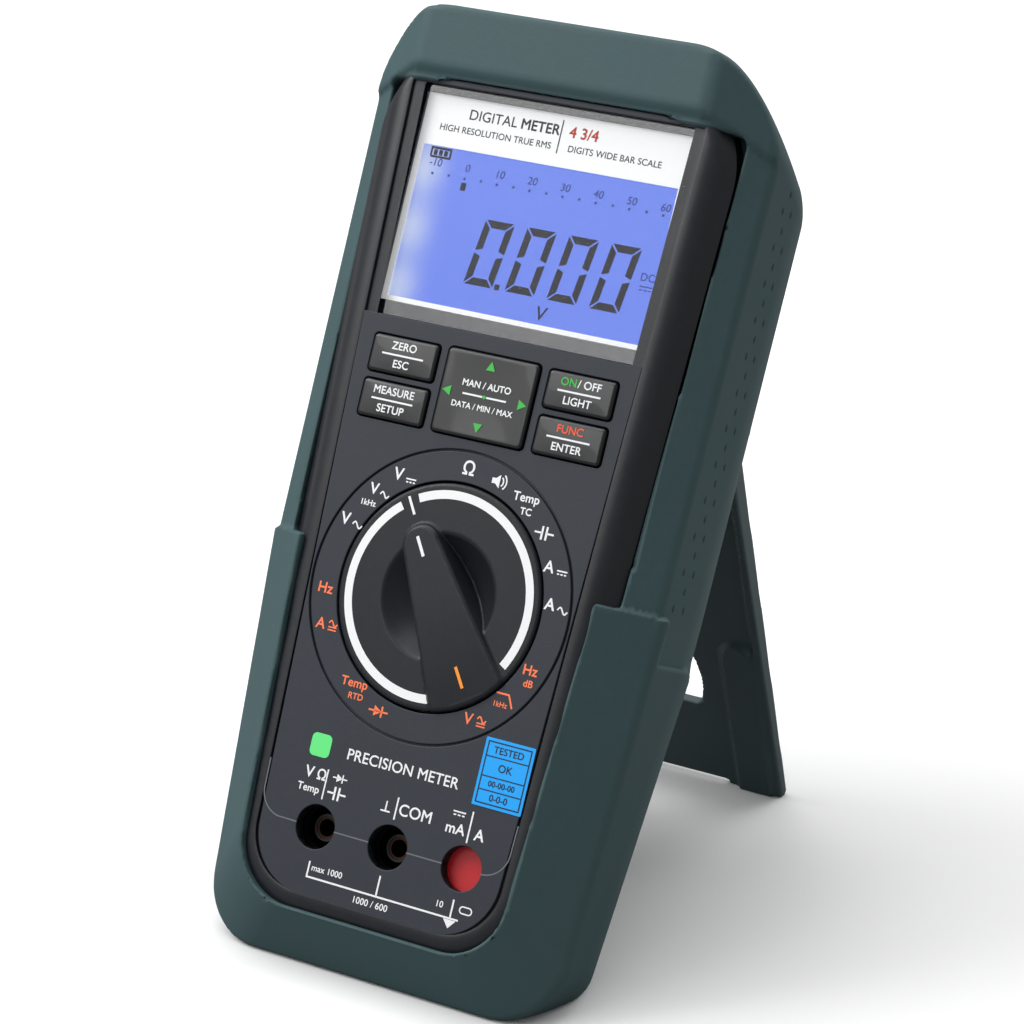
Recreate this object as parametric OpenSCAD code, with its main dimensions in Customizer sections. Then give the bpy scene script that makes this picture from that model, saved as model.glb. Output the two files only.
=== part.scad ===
// Digital multimeter in a rubber boot, leaning back on the boot's fold-out tilt stand.
//
// Everything is drawn flat, in panel coordinates: X to the right, Y up along the case and
// Z out of the front panel, with the dial's centre on the panel at the origin.
// lean_back() then turns the flat drawing into the standing pose, +Z up and facing -Y.

/* [Pose] */
// Lean of the instrument from upright, in degrees
lean = 27; // [25:0.5:29]
// Angle of the tilt stand from the boot's back, in degrees
stand_angle = 43.5; // [42.5:0.5:45]

/* [Case] */
// Length of the case
case_len = 200; // [199:0.5:202]
// Width of the case at its top end
case_w = 88.6; // [88:0.2:89.4]
// Depth of the case from panel to back
case_depth = 38; // [38:0.5:39]
// Wall thickness of both shells
wall = 2.5; // [2.3:0.1:2.6]
// Width of the sloped border around the panel
bevel_w = 7; // [6.75:0.25:7.5]
// Depth of the sloped border around the panel
bevel_z = 7; // [6.5:0.25:7.5]

/* [Boot] */
// Half width of the boot at the hood
boot_half_w = 51.3; // [51:0.1:52]
// Highest point of the hood along the case
hood_top = 130; // [129.5:0.5:132]
// Lower edge of the hood's front face
hood_lip = 115.7; // [115:0.5:116.5]
// Height where the lower cradle's raised front begins
cradle_top = 7; // [5:0.5:9]
// Depth of the boot behind the panel
boot_back = 48; // [47.5:0.5:49]

/* [Display] */
// Width of the display window
window_w = 72; // [71.5:0.1:72.4]
// Height of the display window
window_h = 52.7; // [52:0.1:52.8]

/* [Keys] */
// Width of a small key
key_w = 17; // [16:0.5:17.5]
// Height of a small key
key_h = 8.4; // [8:0.1:8.6]
// Size of the cursor pad across
pad_w = 23.4; // [22:0.2:23.8]
// Size of the cursor pad along the case
pad_h = 19.1; // [18.5:0.1:19.3]
// Gap round each key in the panel
key_gap = 0.35; // [0.3:0.05:0.45]

/* [Dial] */
// Radius of the selector knob
knob_r = 25.4; // [25:0.1:25.5]
// Angle between two switch positions, in degrees
detent_step = 16.36; // [16.2:0.01:16.4]

/* [Sockets] */
// Distance between the sockets
socket_pitch = 19.05; // [19.05:0.05:19.1]
// Radius of the shroud hole round each contact
shroud_r = 5; // [4.8:0.1:5.1]
// Radius of the 4 mm contact bore
contact_r = 2; // [1.95:0.01:2.05]

/* [Hidden] */
$fn = 48;
smooth_fn = 96;
hull_fn = 32;
eps = 0.01;

// case, panel coordinates
case_y0 = -78;
case_y1 = case_y0 + case_len;
case_taper = 0.028;
split_z = -19;
corner_top_r = 20;
corner_bot_r = 20;
panel_top_r = 4;
back_bevel = 4;
groove_w = 0.5;
groove_d = 0.5;
dial_groove_r = 32.8;

// heel and floor: the boot's heel is cut flat to the floor
heel_y = -87.6;
heel_z = -8.47;
heel_wall = 2.8;
floor_drop = -(cos(lean) * heel_y + sin(lean) * heel_z);
centre_shift = -30.58;

// rows of keys and the display's place
window_y0 = 59.1;
window_depth = 2.2;
ledge_z = -3.1;
ledge_x = 34.1;
ledge_y0 = 62.3;
ledge_y1 = 110.5;
key_x = 22.7;
key_rows = [50.15, 39.85];
pad_y = 45.15;
key_top = 0.7;
key_flange_z = -2.9;
cross_z = -5.2;

// layers inside the case
board_z = -14.2;
board_t = 1.6;
board_half_w = 34.5;
board_y0 = -46;
board_y1 = 112;
well_floor = -8.2;
well_t = 1.6;
rotor_z = -13;
rotor_t = 1.5;
rotor_r = 26.2;

// sockets and their shutter
sockets = [-17, -17 + socket_pitch, -17 + 2 * socket_pitch];
socket_y = -56.3;
shutter_z = -4.1;
shutter_t = 1;
pivot_x = sockets[1];
pivot_y = -40;
pivot_r = 1.5;
tab_swing = 25;
tab_reach = norm([socket_pitch, socket_y - pivot_y]);
tab_angle = atan2(socket_y - pivot_y, socket_pitch);
arm_len = 24;
socket_drop = pivot_y - socket_y;
rest_step = 2;
knob_ccw = 2 * detent_step;
knob_cw = 7 * detent_step;
shutter_ratio = tab_swing / (6 * detent_step);

// boot and stand
boot_gap = 0.3;
rail_drop = 1.3;
rail_half_w = 45.2;
rail_outer = 49.8;
cradle_outer = 51.2;
heel_outer = 46.7;
heel_corner_r = 16;
hood_corner_r = 21;
facet_slope = 0.76;
facet_x = 37.1;
hood_z = 2.4;
corner_cut_at = [51.2, 112.7, -15.3];
corner_cut_tilt = 112.3;
corner_cut_turn = 45.7;
corner_wall = 2.4;
hinge_y = 52;
hinge_z = -44.5;
hinge_pin_r = 1.5;
stand_len = 113.6;
stand_half_w = 39.4;
recess_half_w = 39.9;
recess_z = -40.7;

// screws
case_bosses = [[38.8, 98], [38.2, 20], [33.4, -58]];
boss_r = 2.9;
head_boss_r = 4.2;
head_seat_z = -32.4;
door_screw_x = 14;
door_screw_y = -36.2;
door_seat_z = -37.2;
screw_play = 0.02;

// battery bay
bay_x = 20.5;
bay_y0 = -31;
bay_y1 = 43.5;
bay_roof = -19.9;
cell_r = 7.1;
cell_len = 49.2;
cell_x = 7.6;
cell_y = -1.5;
cell_z = -28.2;
fuse_y = 34;
fuse_z = -28.5;
door_y0 = -41;
door_y1 = 45;
door_x = 22;

// ---------------------------------------------------------------- frame and outlines

module lean_back() {
    translate([0, centre_shift, floor_drop]) rotate([90 - lean, 0, 0]) children();
}

// half width of the case, which narrows towards the sockets
function half_w(y) = case_w / 2 - case_taper * (case_y1 - y);

function arc_pts(cx, cy, r, a0, a1, n = 8) =
    [for (i = [0:n]) [cx + r * cos(a0 + (a1 - a0) * i / n), cy + r * sin(a0 + (a1 - a0) * i / n)]];

// four-cornered outline with round corners: half widths, ends and corner radii
function tapered_outline(wb, wt, y0, y1, rb, rt) = concat(
    arc_pts(wb - rb, y0 + rb, rb, -90, 0),
    arc_pts(wt - rt, y1 - rt, rt, 0, 90),
    arc_pts(rt - wt, y1 - rt, rt, 90, 180),
    arc_pts(rb - wb, y0 + rb, rb, 180, 270));

function case_outline(inset) = tapered_outline(
    half_w(case_y0 + inset) - inset, half_w(case_y1 - inset) - inset,
    case_y0 + inset, case_y1 - inset,
    max(1, corner_bot_r - inset), max(1, corner_top_r - inset));

// the flat panel inside the sloped border, with tighter corners at the display's end
function panel_outline(inset) = tapered_outline(
    half_w(case_y0 + inset) - inset, half_w(case_y1 - inset) - inset,
    case_y0 + inset, case_y1 - inset,
    max(1, corner_bot_r - inset), max(1, panel_top_r + bevel_w - inset));

module slab(points, z0, z1) {
    translate([0, 0, z0]) linear_extrude(z1 - z0) polygon(points);
}

module case_slab(inset, z0, z1) {
    slab(case_outline(inset), z0, z1);
}

// front half of the case's solid form, grown by g
module front_form(g) {
    case_slab(-g, split_z, -bevel_z);
    hull() {
        case_slab(-g, -bevel_z - 0.1, -bevel_z);
        slab(panel_outline(bevel_w - g), g - 0.1, g);
    }
}

// line parallel to the floor, a distance inside the boot's heel
function heel_line(z, inset) = heel_y + (heel_z - z) * tan(lean) + inset / cos(lean);

// rear half of the case's solid form, grown by g; its lower end slopes with the boot's heel
module rear_form(g) {
    back = -case_depth - g;
    intersection() {
        union() {
            case_slab(-g, back_bevel - case_depth, split_z);
            hull() {
                case_slab(-g, back_bevel - case_depth, back_bevel - case_depth + 0.1);
                case_slab(back_bevel - g, back, back + 0.1);
            }
        }
        across_x([[heel_line(split_z + 1, heel_wall - g), split_z + 1], [case_y1 + 5, split_z + 1],
            [case_y1 + 5, back - 1], [heel_line(back - 1, heel_wall - g), back - 1]], 60);
        corner_room(corner_wall - g);
    }
}

// everything inside the hood's two sloped rear corners, less an inset
module corner_room(inset) {
    difference() {
        bar(0, 140, -100, 140, -60, 10);
        for (side = [0, 1]) mirror([side, 0, 0]) translate(corner_cut_at)
            rotate([0, corner_cut_tilt, corner_cut_turn]) translate([-50, -50, -inset]) cube([100, 100, 60]);
    }
}

// a box from its middle in X and its limits in Y and Z
module bar(x, w, y0, y1, z0, z1) {
    translate([x - w / 2, y0, z0]) cube([w, y1 - y0, z1 - z0]);
}

module post(x, y, r, z0, z1) {
    translate([x, y, z0]) cylinder(r = r, h = z1 - z0);
}

module at_door_screws() {
    for (side = [-1, 1]) translate([side * door_screw_x, door_screw_y, 0]) children();
}

module at_bosses() {
    for (side = [-1, 1], b = case_bosses) translate([side * b[0], b[1], 0]) children();
}

// ---------------------------------------------------------------- boot and stand

// half of a cross-section of the boot, mirrored to the other side
function mirrored(p) = concat(p, [for (i = [len(p) - 1:-1:0]) [-p[i][0], p[i][1]]]);

function hood_section(drop) = mirrored([
    [0, hood_z - drop], [facet_x, hood_z - drop],
    [boot_half_w, hood_z - drop - facet_slope * (boot_half_w - facet_x)], [boot_half_w, -31],
    [42, -boot_back], [0, -boot_back]]);

function cradle_section(x_in, z_in, x_edge, z_edge, x_side, z_side, x_back, z_back) = mirrored([
    [0, z_in], [x_in, z_in], [x_edge, z_edge], [x_side, z_edge - 3], [x_side, z_side],
    [x_back, z_back], [0, z_back]]);

// an X-Z section drawn out along Y
module along_y(points, y0, y1) {
    translate([0, y1, 0]) rotate([90, 0, 0]) linear_extrude(y1 - y0) polygon(points);
}

// a Y-Z profile drawn out across X
module across_x(points, half) {
    translate([-half, 0, 0]) rotate([90, 0, 90]) linear_extrude(2 * half) polygon(points);
}

// outline of the boot seen from the front, right-hand half and then the left
function boot_half_outline() = concat(
    arc_pts(heel_outer - heel_corner_r, heel_y + heel_corner_r, heel_corner_r, -90, 0),
    [[cradle_outer, cradle_top], [rail_outer, cradle_top]],
    arc_pts(boot_half_w - hood_corner_r, hood_top - hood_corner_r, hood_corner_r, 0, 90));

// side profile: hood on top, heel cut parallel to the floor at the bottom
function boot_profile() = [
    [heel_y + 16.8, 4], [hood_top, 4], [hood_top, -25], [hood_top - 4, -38],
    [hood_top - 12, -boot_back], [heel_line(-boot_back, 0) + 4, -boot_back],
    [heel_line(7 - boot_back, 0), 7 - boot_back], [heel_y, heel_z]];

module boot_outer() {
    intersection() {
        slab(mirrored(boot_half_outline()), -boot_back - 1, 5);
        across_x(boot_profile(), 60);
        corner_room(0);
        union() {
            along_y(hood_section(0), hood_lip - 6, hood_top + 1);
            along_y(hood_section(rail_drop), cradle_top - 12, hood_lip);
            hull() {
                along_y(cradle_section(37.2, 1.8, 50.2, -8, 51.3, -29, 41, -47), cradle_top - 0.1, cradle_top);
                along_y(cradle_section(33.5, 0.9, 45.6, -11.6, 46.7, -24, 36, -41), heel_y - 1, heel_y);
            }
        }
    }
}

// opening over the panel: wide between the rails, narrower in the cradle
module boot_opening() {
    rails = [[42.3, cradle_top], [rail_half_w, hood_lip - 3.2], [-rail_half_w, hood_lip - 3.2],
        [-42.3, cradle_top]];
    slab(rails, -bevel_z - 1, 6);
    slab(tapered_outline(34, 37.4, -75, cradle_top + 4, 12.5, 2), -9, 6);
    across_x([[hood_lip - 3.3, -1.2], [hood_lip - 3.3, 5], [hood_lip, 5], [hood_lip, 2.4]], 37.5);
}

module boot() {
    color("#2f4a4d") lean_back() difference() {
        boot_outer();
        front_form(boot_gap);
        rear_form(boot_gap);
        boot_opening();
        bar(0, 2 * recess_half_w, -72, hinge_y + 8, -boot_back - 2, recess_z);
        for (side = [-1, 1]) translate([side * 36, hinge_y, hinge_z])
            rotate([0, side * 90, 0]) cylinder(r = hinge_pin_r + 0.02, h = 7.4);
    }
}

// the stand in its folded place, behind the case
module folded_stand() {
    plate_z = hinge_z - 2.5;
    foot_y = hinge_y - stand_len;
    difference() {
        union() {
            bar(0, 2 * stand_half_w - 4, foot_y, hinge_y - 6, plate_z, plate_z + 2.6);
            for (side = [-1, 1]) {
                bar(side * (stand_half_w - 1.1), 2.2, foot_y, hinge_y, plate_z, hinge_z + 2.4);
                bar(side * (stand_half_w - 6.3), 9, foot_y, hinge_y - 70, plate_z, plate_z + 4.2);
                translate([side * (stand_half_w - 6.3), hinge_y - 70, plate_z])
                    cylinder(r = 4.5, h = 4.2);
                translate([side * stand_half_w, hinge_y, hinge_z])
                    rotate([0, -side * 90, 0]) cylinder(r = 3.4, h = 3.2);
            }
            bar(0, 2 * stand_half_w - 4, hinge_y - 14, hinge_y - 11, plate_z, plate_z + 4.2);
        }
        // finger hole: a circle cut flat on the foot's side
        intersection() {
            translate([0, hinge_y - 81, plate_z - 1]) cylinder(r = 21, h = 12, $fn = smooth_fn);
            bar(0, 60, hinge_y - 88.2, hinge_y - 40, plate_z - 1, plate_z + 11);
        }
        // relief between the two feet
        bar(0, 49, foot_y - 1, foot_y + 2.4, plate_z - 1, plate_z + 12);
        for (side = [-1, 1]) translate([side * (stand_half_w + 1), hinge_y, hinge_z])
            rotate([0, -side * 90, 0]) cylinder(r = hinge_pin_r + 0.06, h = 8);
    }
}

module tilt_stand() {
    color("#304043") difference() {
        lean_back() translate([0, hinge_y, hinge_z]) rotate([stand_angle, 0, 0])
            translate([0, -hinge_y, -hinge_z]) folded_stand();
        translate([-100, -100, -50]) cube([200, 300, 50]);
    }
}

module stand_pins() {
    color("silver") lean_back() for (side = [-1, 1])
        translate([side * 36.4, hinge_y, hinge_z]) rotate([0, side * 90, 0])
            cylinder(r = hinge_pin_r, h = 6.8);
}

// ---------------------------------------------------------------- shells

function side_groove(side) = [
    [side * 36.0, window_y0 - 1], [side * 34.0, 0], [side * 32.8, -36],
    [side * (32.8 - groove_w), -36], [side * (34.0 - groove_w), 0],
    [side * (36.0 - groove_w), window_y0 - 1]];

module front_bodywork() {
    difference() {
        front_form(0);
        front_form(-wall);
        case_slab(wall, split_z - 1, split_z + 2);
    }
    intersection() {
        front_form(0);
        union() {
            bar(0, 77, window_y0 - 3, case_y1 - 7.6, ledge_z, -1);
            post(0, 0, knob_r + 2.2, well_floor - well_t, -1);
            for (x = sockets) post(x, socket_y, shroud_r + 1.2, -2.9, -1);
        }
    }
}

module front_shell() {
    color("#3f434a") lean_back() difference() {
        union() {
            front_bodywork();
            at_bosses() post(0, 0, boss_r, split_z, -8);
            post(pivot_x, pivot_y, pivot_r, -13.6, -1);
        }
        // display pocket and the opening under the window
        bar(0, window_w + 0.4, window_y0 - 0.2, window_y0 + window_h + 0.2, -window_depth, 1);
        bar(0, 2 * ledge_x, ledge_y0, ledge_y1, -6, 1);
        bar(0, 70.4, 61.3, 111.5, ledge_z - 0.8, ledge_z);
        // keys
        for (side = [-1, 1], y = key_rows)
            bar(side * key_x, key_w + 2 * key_gap, y - key_h / 2 - key_gap, y + key_h / 2 + key_gap, -4, 1);
        bar(0, pad_w + 2 * key_gap, pad_y - pad_h / 2 - key_gap, pad_y + pad_h / 2 + key_gap, -4, 1);
        // well of the knob
        post(0, 0, knob_r + 0.5, well_floor, 1);
        post(0, 0, 6.3, -12, 1);
        // sockets
        for (x = sockets) post(x, socket_y, shroud_r, -4, 1);
        // room for the swinging shutter
        difference() {
            post(pivot_x, pivot_y, tab_reach + 5.9, shutter_z - 0.4, -2.9);
            post(pivot_x, pivot_y, tab_reach - 6, shutter_z - 1, -2);
        }
        // fine grooves
        difference() {
            post(0, 0, dial_groove_r + groove_w / 2, -groove_d, 1);
            post(0, 0, dial_groove_r - groove_w / 2, -1, 2);
        }
        for (side = [-1, 1]) slab(side_groove(side), -groove_d, 1);
        at_bosses() post(0, 0, 1.4, split_z - 1, -9.5);
    }
}

module rear_shell() {
    color("#33363c") lean_back() difference() {
        union() {
            difference() {
                rear_form(0);
                rear_form(-wall);
                case_slab(wall, split_z - 1, split_z + 1);
            }
            // battery bay, closed towards the board
            difference() {
                bar(0, 2 * bay_x + 3, bay_y0 - 1.5, bay_y1 + 1.5, -case_depth + 1, bay_roof + 1);
                bar(0, 2 * bay_x, bay_y0, bay_y1, -case_depth, bay_roof);
            }
            at_door_screws() post(0, 0, 2.8, -36.5, -28);
            intersection() {
                rear_form(0);
                at_bosses() {
                    post(0, 0, head_boss_r, -case_depth, head_seat_z + 2);
                    post(0, 0, boss_r, head_seat_z, split_z - 0.05);
                }
            }
        }
        bar(0, 2 * door_x, door_y0, door_y1, -case_depth - 1, -36.5);
        bar(0, 2 * bay_x - 1, bay_y0 + 0.5, bay_y1 - 0.5, -case_depth - 1, -34);
        at_door_screws() post(0, 0, 1.3, -39, -29);
        at_bosses() {
            post(0, 0, 1.5, -39, split_z + 1);
            post(0, 0, 2.8, -39, head_seat_z);
        }
    }
}

module battery_door() {
    color("#3a3d43") lean_back() difference() {
        union() {
            bar(0, 2 * door_x - 0.6, door_y0 + 0.3, door_y1 - 0.3, -case_depth, -36.6);
            bar(0, 2 * bay_x - 4, bay_y0 + 3, bay_y1 - 3, -36.6, -35.9);
        }
        at_door_screws() {
            post(0, 0, 1.6, -39, -36);
            post(0, 0, 2.7, -39, door_seat_z);
        }
        // pull ribs
        for (i = [0:4]) bar(0, 16, 36 - 3 * i, 37.2 - 3 * i, -case_depth - 1, -case_depth + 0.5);
    }
}

module door_screws() {
    color("silver") lean_back() at_door_screws() {
        post(0, 0, 1.25, door_seat_z - screw_play, -30);
        difference() {
            post(0, 0, 2.5, -case_depth, door_seat_z - screw_play);
            bar(0, 0.8, -2.6, 2.6, -case_depth - 1, -case_depth + 0.35);
        }
    }
}

module case_screws() {
    color("silver") lean_back() at_bosses() {
        post(0, 0, 1.3, head_seat_z - screw_play, -10);
        difference() {
            post(0, 0, 2.6, head_seat_z - 1.6, head_seat_z - screw_play);
            bar(0, 0.8, -1.7, 1.7, head_seat_z - 2, head_seat_z - 0.8);
            bar(0, 3.4, -0.4, 0.4, head_seat_z - 2, head_seat_z - 0.8);
        }
    }
}

// ---------------------------------------------------------------- display

module display_window() {
    color("#1a2230") lean_back()
        bar(0, window_w, window_y0, window_y0 + window_h, -window_depth + 0.05, -0.6);
}

module display_mask() {
    color("white") lean_back() difference() {
        bar(0, 69.8, 61.6, 111.2, ledge_z - 0.55, ledge_z - 0.05);
        bar(0, 65.4, 63.5, 98.7, ledge_z - 1, ledge_z + 1);
    }
}

module lcd_panel() {
    color("#6d8cff") lean_back() bar(0, 67.6, 61.9, 101.3, -5.9, -3.75);
}

module light_guide() {
    color("#cfe0ff") lean_back() bar(0, 67, 62.2, 101, -9.1, -6.1);
}

module lcd_frame() {
    color("#e6e6e0") lean_back() difference() {
        bar(0, 70.2, 58.6, 112.5, board_z + 0.1, -5.6);
        bar(0, 68.2, 61.5, 101.7, -9.3, 0);
        bar(0, 60, 68, 98, board_z - 1, -8);
        bar(0, 66, 104, 110.5, board_z - 1, 0);
        bar(0, 62, 62.2, 65, board_z - 1, -8);
    }
}

module zebra_strip() {
    color("#b0b0b0") lean_back() bar(0, 61, 62.5, 64.7, board_z + 0.05, -9.15);
}

// ---------------------------------------------------------------- board

module main_board() {
    color("#1f6b3a") lean_back() difference() {
        bar(0, 2 * board_half_w, board_y0, board_y1, board_z - board_t, board_z);
        for (x = [-31, 31], y = [-42, 108]) post(x, y, 1.6, board_z - 3, board_z + 1);
    }
}

module board_chips() {
    back = board_z - board_t;
    color("#202225") lean_back() {
        bar(0, 14, 52, 66, back - 1.6, back);
        bar(-20, 12, 70, 82, back - 1.4, back);
        bar(18, 8, 74, 79, back - 1.6, back);
        bar(0, 20, 86, 96, back - 1.8, back);
        for (i = [0:4]) bar(-24 + 12 * i, 4, 100, 102.5, back - 1.2, back);
    }
}

module varistors() {
    color("#27508a") lean_back() for (side = [-1, 1])
        post(side * 27.5, -36, 5, board_z - board_t - 2.8, board_z - board_t);
}

module current_shunt() {
    z = board_z - board_t;
    color("#b87333") lean_back() {
        bar(0, 22, -42, -39.5, z - 2.6, z - 1.6);
        for (side = [-1, 1]) bar(side * 10, 2, -42, -39.5, z - 1.6, z);
    }
}

module buzzer() {
    color("#caa64a") lean_back() {
        post(-26, 55, 7.5, board_z - board_t - 0.6, board_z - board_t);
        post(-26, 55, 5.5, board_z - board_t - 1.2, board_z - board_t - 0.6);
    }
}

// ---------------------------------------------------------------- keys

module key_mat() {
    color("#9aa0a6") lean_back() {
        difference() {
            bar(0, 66, 34.2, 57.6, board_z + 0.05, board_z + 1);
            bar(0, 18, 40.8, 49.5, board_z - 1, board_z + 2);
        }
        for (side = [-1, 1], y = key_rows) post(side * key_x, y, 3, board_z + 1, -10.9);
        for (p = [[-10.2, 0], [10.2, 0], [0, -7.2], [0, 7.2]])
            post(p[0], pad_y + p[1], 1.2, board_z + 1, -10.9);
    }
}

// one small key: cap with a bevelled top edge, flange under the panel, stem to the mat
module small_key(side, y) {
    color("#15181c") lean_back() translate([side * key_x, y, 0]) {
        hull() {
            bar(0, key_w, -key_h / 2, key_h / 2, -1, key_top - 0.6);
            bar(0, key_w - 1.2, -key_h / 2 + 0.6, key_h / 2 - 0.6, -1, key_top);
        }
        bar(0, key_w, -key_h / 2, key_h / 2, key_flange_z, -1);
        bar(0, key_w + 1.2, -key_h / 2 - 0.55, key_h / 2 + 0.55, key_flange_z - 1.1, key_flange_z);
        post(0, 0, 2.4, -9.6, key_flange_z - 1.1);
    }
}

module key_zero() { small_key(-1, key_rows[0]); }
module key_measure() { small_key(-1, key_rows[1]); }
module key_power() { small_key(1, key_rows[0]); }
module key_function() { small_key(1, key_rows[1]); }

// square four-way pad that rocks on a cross-shaped pivot
module cursor_pad() {
    color("#14171b") lean_back() translate([0, pad_y, 0]) difference() {
        union() {
            hull() {
                bar(0, pad_w, -pad_h / 2, pad_h / 2, -1, key_top - 0.5);
                bar(0, pad_w - 1.4, -pad_h / 2 + 0.7, pad_h / 2 - 0.7, -1, key_top + 0.2);
            }
            bar(0, pad_w, -pad_h / 2, pad_h / 2, -3, -1);
            for (side = [-1, 1]) {
                bar(0, 5, side * 3.6 - 0.7, side * 3.6 + 0.7, cross_z - 1.7, -3);
                post(side * 10.2, 0, 1.1, -9.6, -3);
                post(0, side * 7.2, 1.1, -9.6, -3);
            }
        }
        translate([0, 0, cross_z]) rotate([90, 0, 0]) cylinder(r = 1, h = 12, center = true);
    }
}

// cross pivot: one axle across, one along the case
module cursor_cross() {
    color("silver") lean_back() translate([0, pad_y, cross_z]) {
        rotate([90, 0, 0]) cylinder(r = 0.94, h = 9, center = true);
        rotate([0, 90, 0]) cylinder(r = 0.94, h = 15.6, center = true);
    }
}

module cursor_cradle() {
    color("#d8d8d2") lean_back() translate([0, pad_y, 0]) difference() {
        union() {
            bar(0, 17.2, -4, 4, board_z + 0.05, board_z + 1.2);
            for (side = [-1, 1]) bar(side * 6.6, 1.6, -2.2, 2.2, board_z + 1, cross_z + 1.7);
        }
        translate([0, 0, cross_z]) rotate([0, 90, 0]) cylinder(r = 1, h = 20, center = true);
    }
}

// ---------------------------------------------------------------- knob and switch

// cross-section of the knob's disc: raised flat ring with a dished middle
knob_profile = [[0, -7.6], [knob_r, -7.6], [knob_r, -0.3], [knob_r - 0.7, 0.4], [18.3, 0.4],
    [17.8, -0.6], [15.6, -3.6], [12, -5.2], [0, -5.6]];

// grip: narrow and round towards the pointer, wide and flush with the rim at its tail
module knob_grip() {
    intersection() {
        post(0, 0, knob_r - 0.05, -7, 3);
        hull() {
            translate([0, 12.2, -6]) cylinder(r = 5.6, h = 0.4, $fn = hull_fn);
            translate([0, 12.8, 1.6]) cylinder(r = 3.9, h = 0.4, $fn = hull_fn);
            bar(0, 17, -24.9, -24, -6, -5.6);
            bar(0, 11.4, -25.2, -24, 1.6, 2.2);
        }
    }
}

module knob() {
    color("#24272c") lean_back() rotate([0, 0, rest_step * detent_step]) {
        rotate_extrude($fn = smooth_fn) polygon(knob_profile);
        knob_grip();
        post(0, 0, 5.8, -11.3, -7.6);
        bar(0, 6, -3, 3, -13.6, -11.3);
    }
}

// pivoting shutter's follower pin, in panel coordinates, for a knob turned by a degrees
function pin_at(a) = [pivot_x - arm_len * sin(shutter_ratio * a),
    pivot_y + arm_len * cos(shutter_ratio * a)];
// the same point seen from the turning cam
function cam_at(a) = let (p = pin_at(a))
    [p[0] * cos(a) + p[1] * sin(a), p[1] * cos(a) - p[0] * sin(a)];
function cam_dir(a) = let (d = cam_at(a + 0.5) - cam_at(a - 0.5)) d / norm(d);
function cam_edge(a, w) = cam_at(a) + w * [-cam_dir(a)[1], cam_dir(a)[0]];

slot_half = 1.25;
slot_steps = 40;
slot_a0 = -knob_cw - 3;
slot_a1 = knob_ccw + 3;
function slot_angle(i) = slot_a0 + (slot_a1 - slot_a0) * i / slot_steps;
function cam_slot() = concat(
    [for (i = [0:slot_steps]) cam_edge(slot_angle(i), slot_half)],
    [for (i = [slot_steps:-1:0]) cam_edge(slot_angle(i), -slot_half)]);

// disc under the panel that turns with the knob and steers the socket shutter
module cam_disc() {
    color("#d9d4c5") lean_back() difference() {
        post(0, 0, rotor_r, rotor_z, rotor_z + rotor_t);
        rotate([0, 0, rest_step * detent_step]) bar(0, 6.1, -3.05, 3.05, rotor_z - 1, -10);
        slab(cam_slot(), rotor_z - 1, rotor_z + rotor_t + 1);
    }
}

module wiper_contacts() {
    color("#c79a3a") lean_back() for (a = [150, 180, 210]) rotate([0, 0, a])
        bar(9.8, 5.2, -1, 1, rotor_z - 0.7, rotor_z);
}

module knob_clip() {
    color("silver") lean_back() rotate([0, 0, rest_step * detent_step]) difference() {
        post(0, 0, 5.6, rotor_z - 0.55, rotor_z - 0.02);
        bar(0, 6.1, -3.05, 3.05, rotor_z - 2, rotor_z + 1);
    }
}

// leaf spring that rests beside the cam disc's edge
module detent_spring() {
    color("silver") lean_back() {
        bar(-30.2, 1, -9, 9, rotor_z, rotor_z + rotor_t);
        bar(-32.2, 3, -9, -6, rotor_z, rotor_z + rotor_t);
        bar(-32.2, 3, 6, 9, rotor_z, rotor_z + rotor_t);
        post(-28, 0, 1.4, rotor_z, rotor_z + rotor_t);
        bar(-29.1, 1.4, -0.8, 0.8, rotor_z, rotor_z + rotor_t);
    }
}

// ---------------------------------------------------------------- sockets

// ring-shaped tab between two angles about the shutter's pivot
function tab_outline(a0, a1) = concat(
    arc_pts(pivot_x, pivot_y, tab_reach + 5.5, a0, a1, 10),
    arc_pts(pivot_x, pivot_y, tab_reach - 5.5, a1, a0, 6));

module shutter_arm(a, r_in, r_out, w, z0, z1) {
    translate([pivot_x, pivot_y, z0]) rotate([0, 0, a])
        translate([r_in, -w / 2, 0]) cube([r_out - r_in, w, z1 - z0]);
}

// two-armed flap: one tab blocks the current socket, the other one the voltage socket
module socket_shutter() {
    top = shutter_z + shutter_t;
    half_tab = 12.7;
    volt_angle = 180 - tab_angle;
    past_ccw = shutter_ratio * knob_ccw;
    past_cw = shutter_ratio * detent_step;
    color("#c8202a") lean_back() difference() {
        union() {
            slab(tab_outline(tab_angle - half_tab - past_ccw, tab_angle + half_tab), shutter_z, top);
            slab(tab_outline(volt_angle + tab_swing - half_tab, volt_angle + tab_swing + half_tab
                + past_cw), shutter_z, top);
            shutter_arm(tab_angle, 1.9, tab_reach - 5, 3, shutter_z, top);
            shutter_arm(volt_angle + tab_swing, 1.9, tab_reach - 5, 2.6, shutter_z, top);
            post(pivot_x, pivot_y, 3.4, -11.2, top);
            shutter_arm(90, 1.9, arm_len, 3.4, -11.2, -10.2);
            post(pivot_x, pivot_y + arm_len, 1.7, -11.2, -10.2);
            post(pivot_x, pivot_y + arm_len, 0.85, rotor_z + 0.1, -11.2);
        }
        post(pivot_x, pivot_y, pivot_r + 0.06, -20, 0);
        // keeps clear of the middle socket at either end of the swing
        for (a = [-past_ccw, 0, tab_swing, tab_swing + past_cw]) {
            open = [pivot_x + socket_drop * sin(a), pivot_y - socket_drop * cos(a)];
            post(open[0], open[1], shroud_r + 0.2, shutter_z - 1, top + 1);
        }
    }
}

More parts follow.
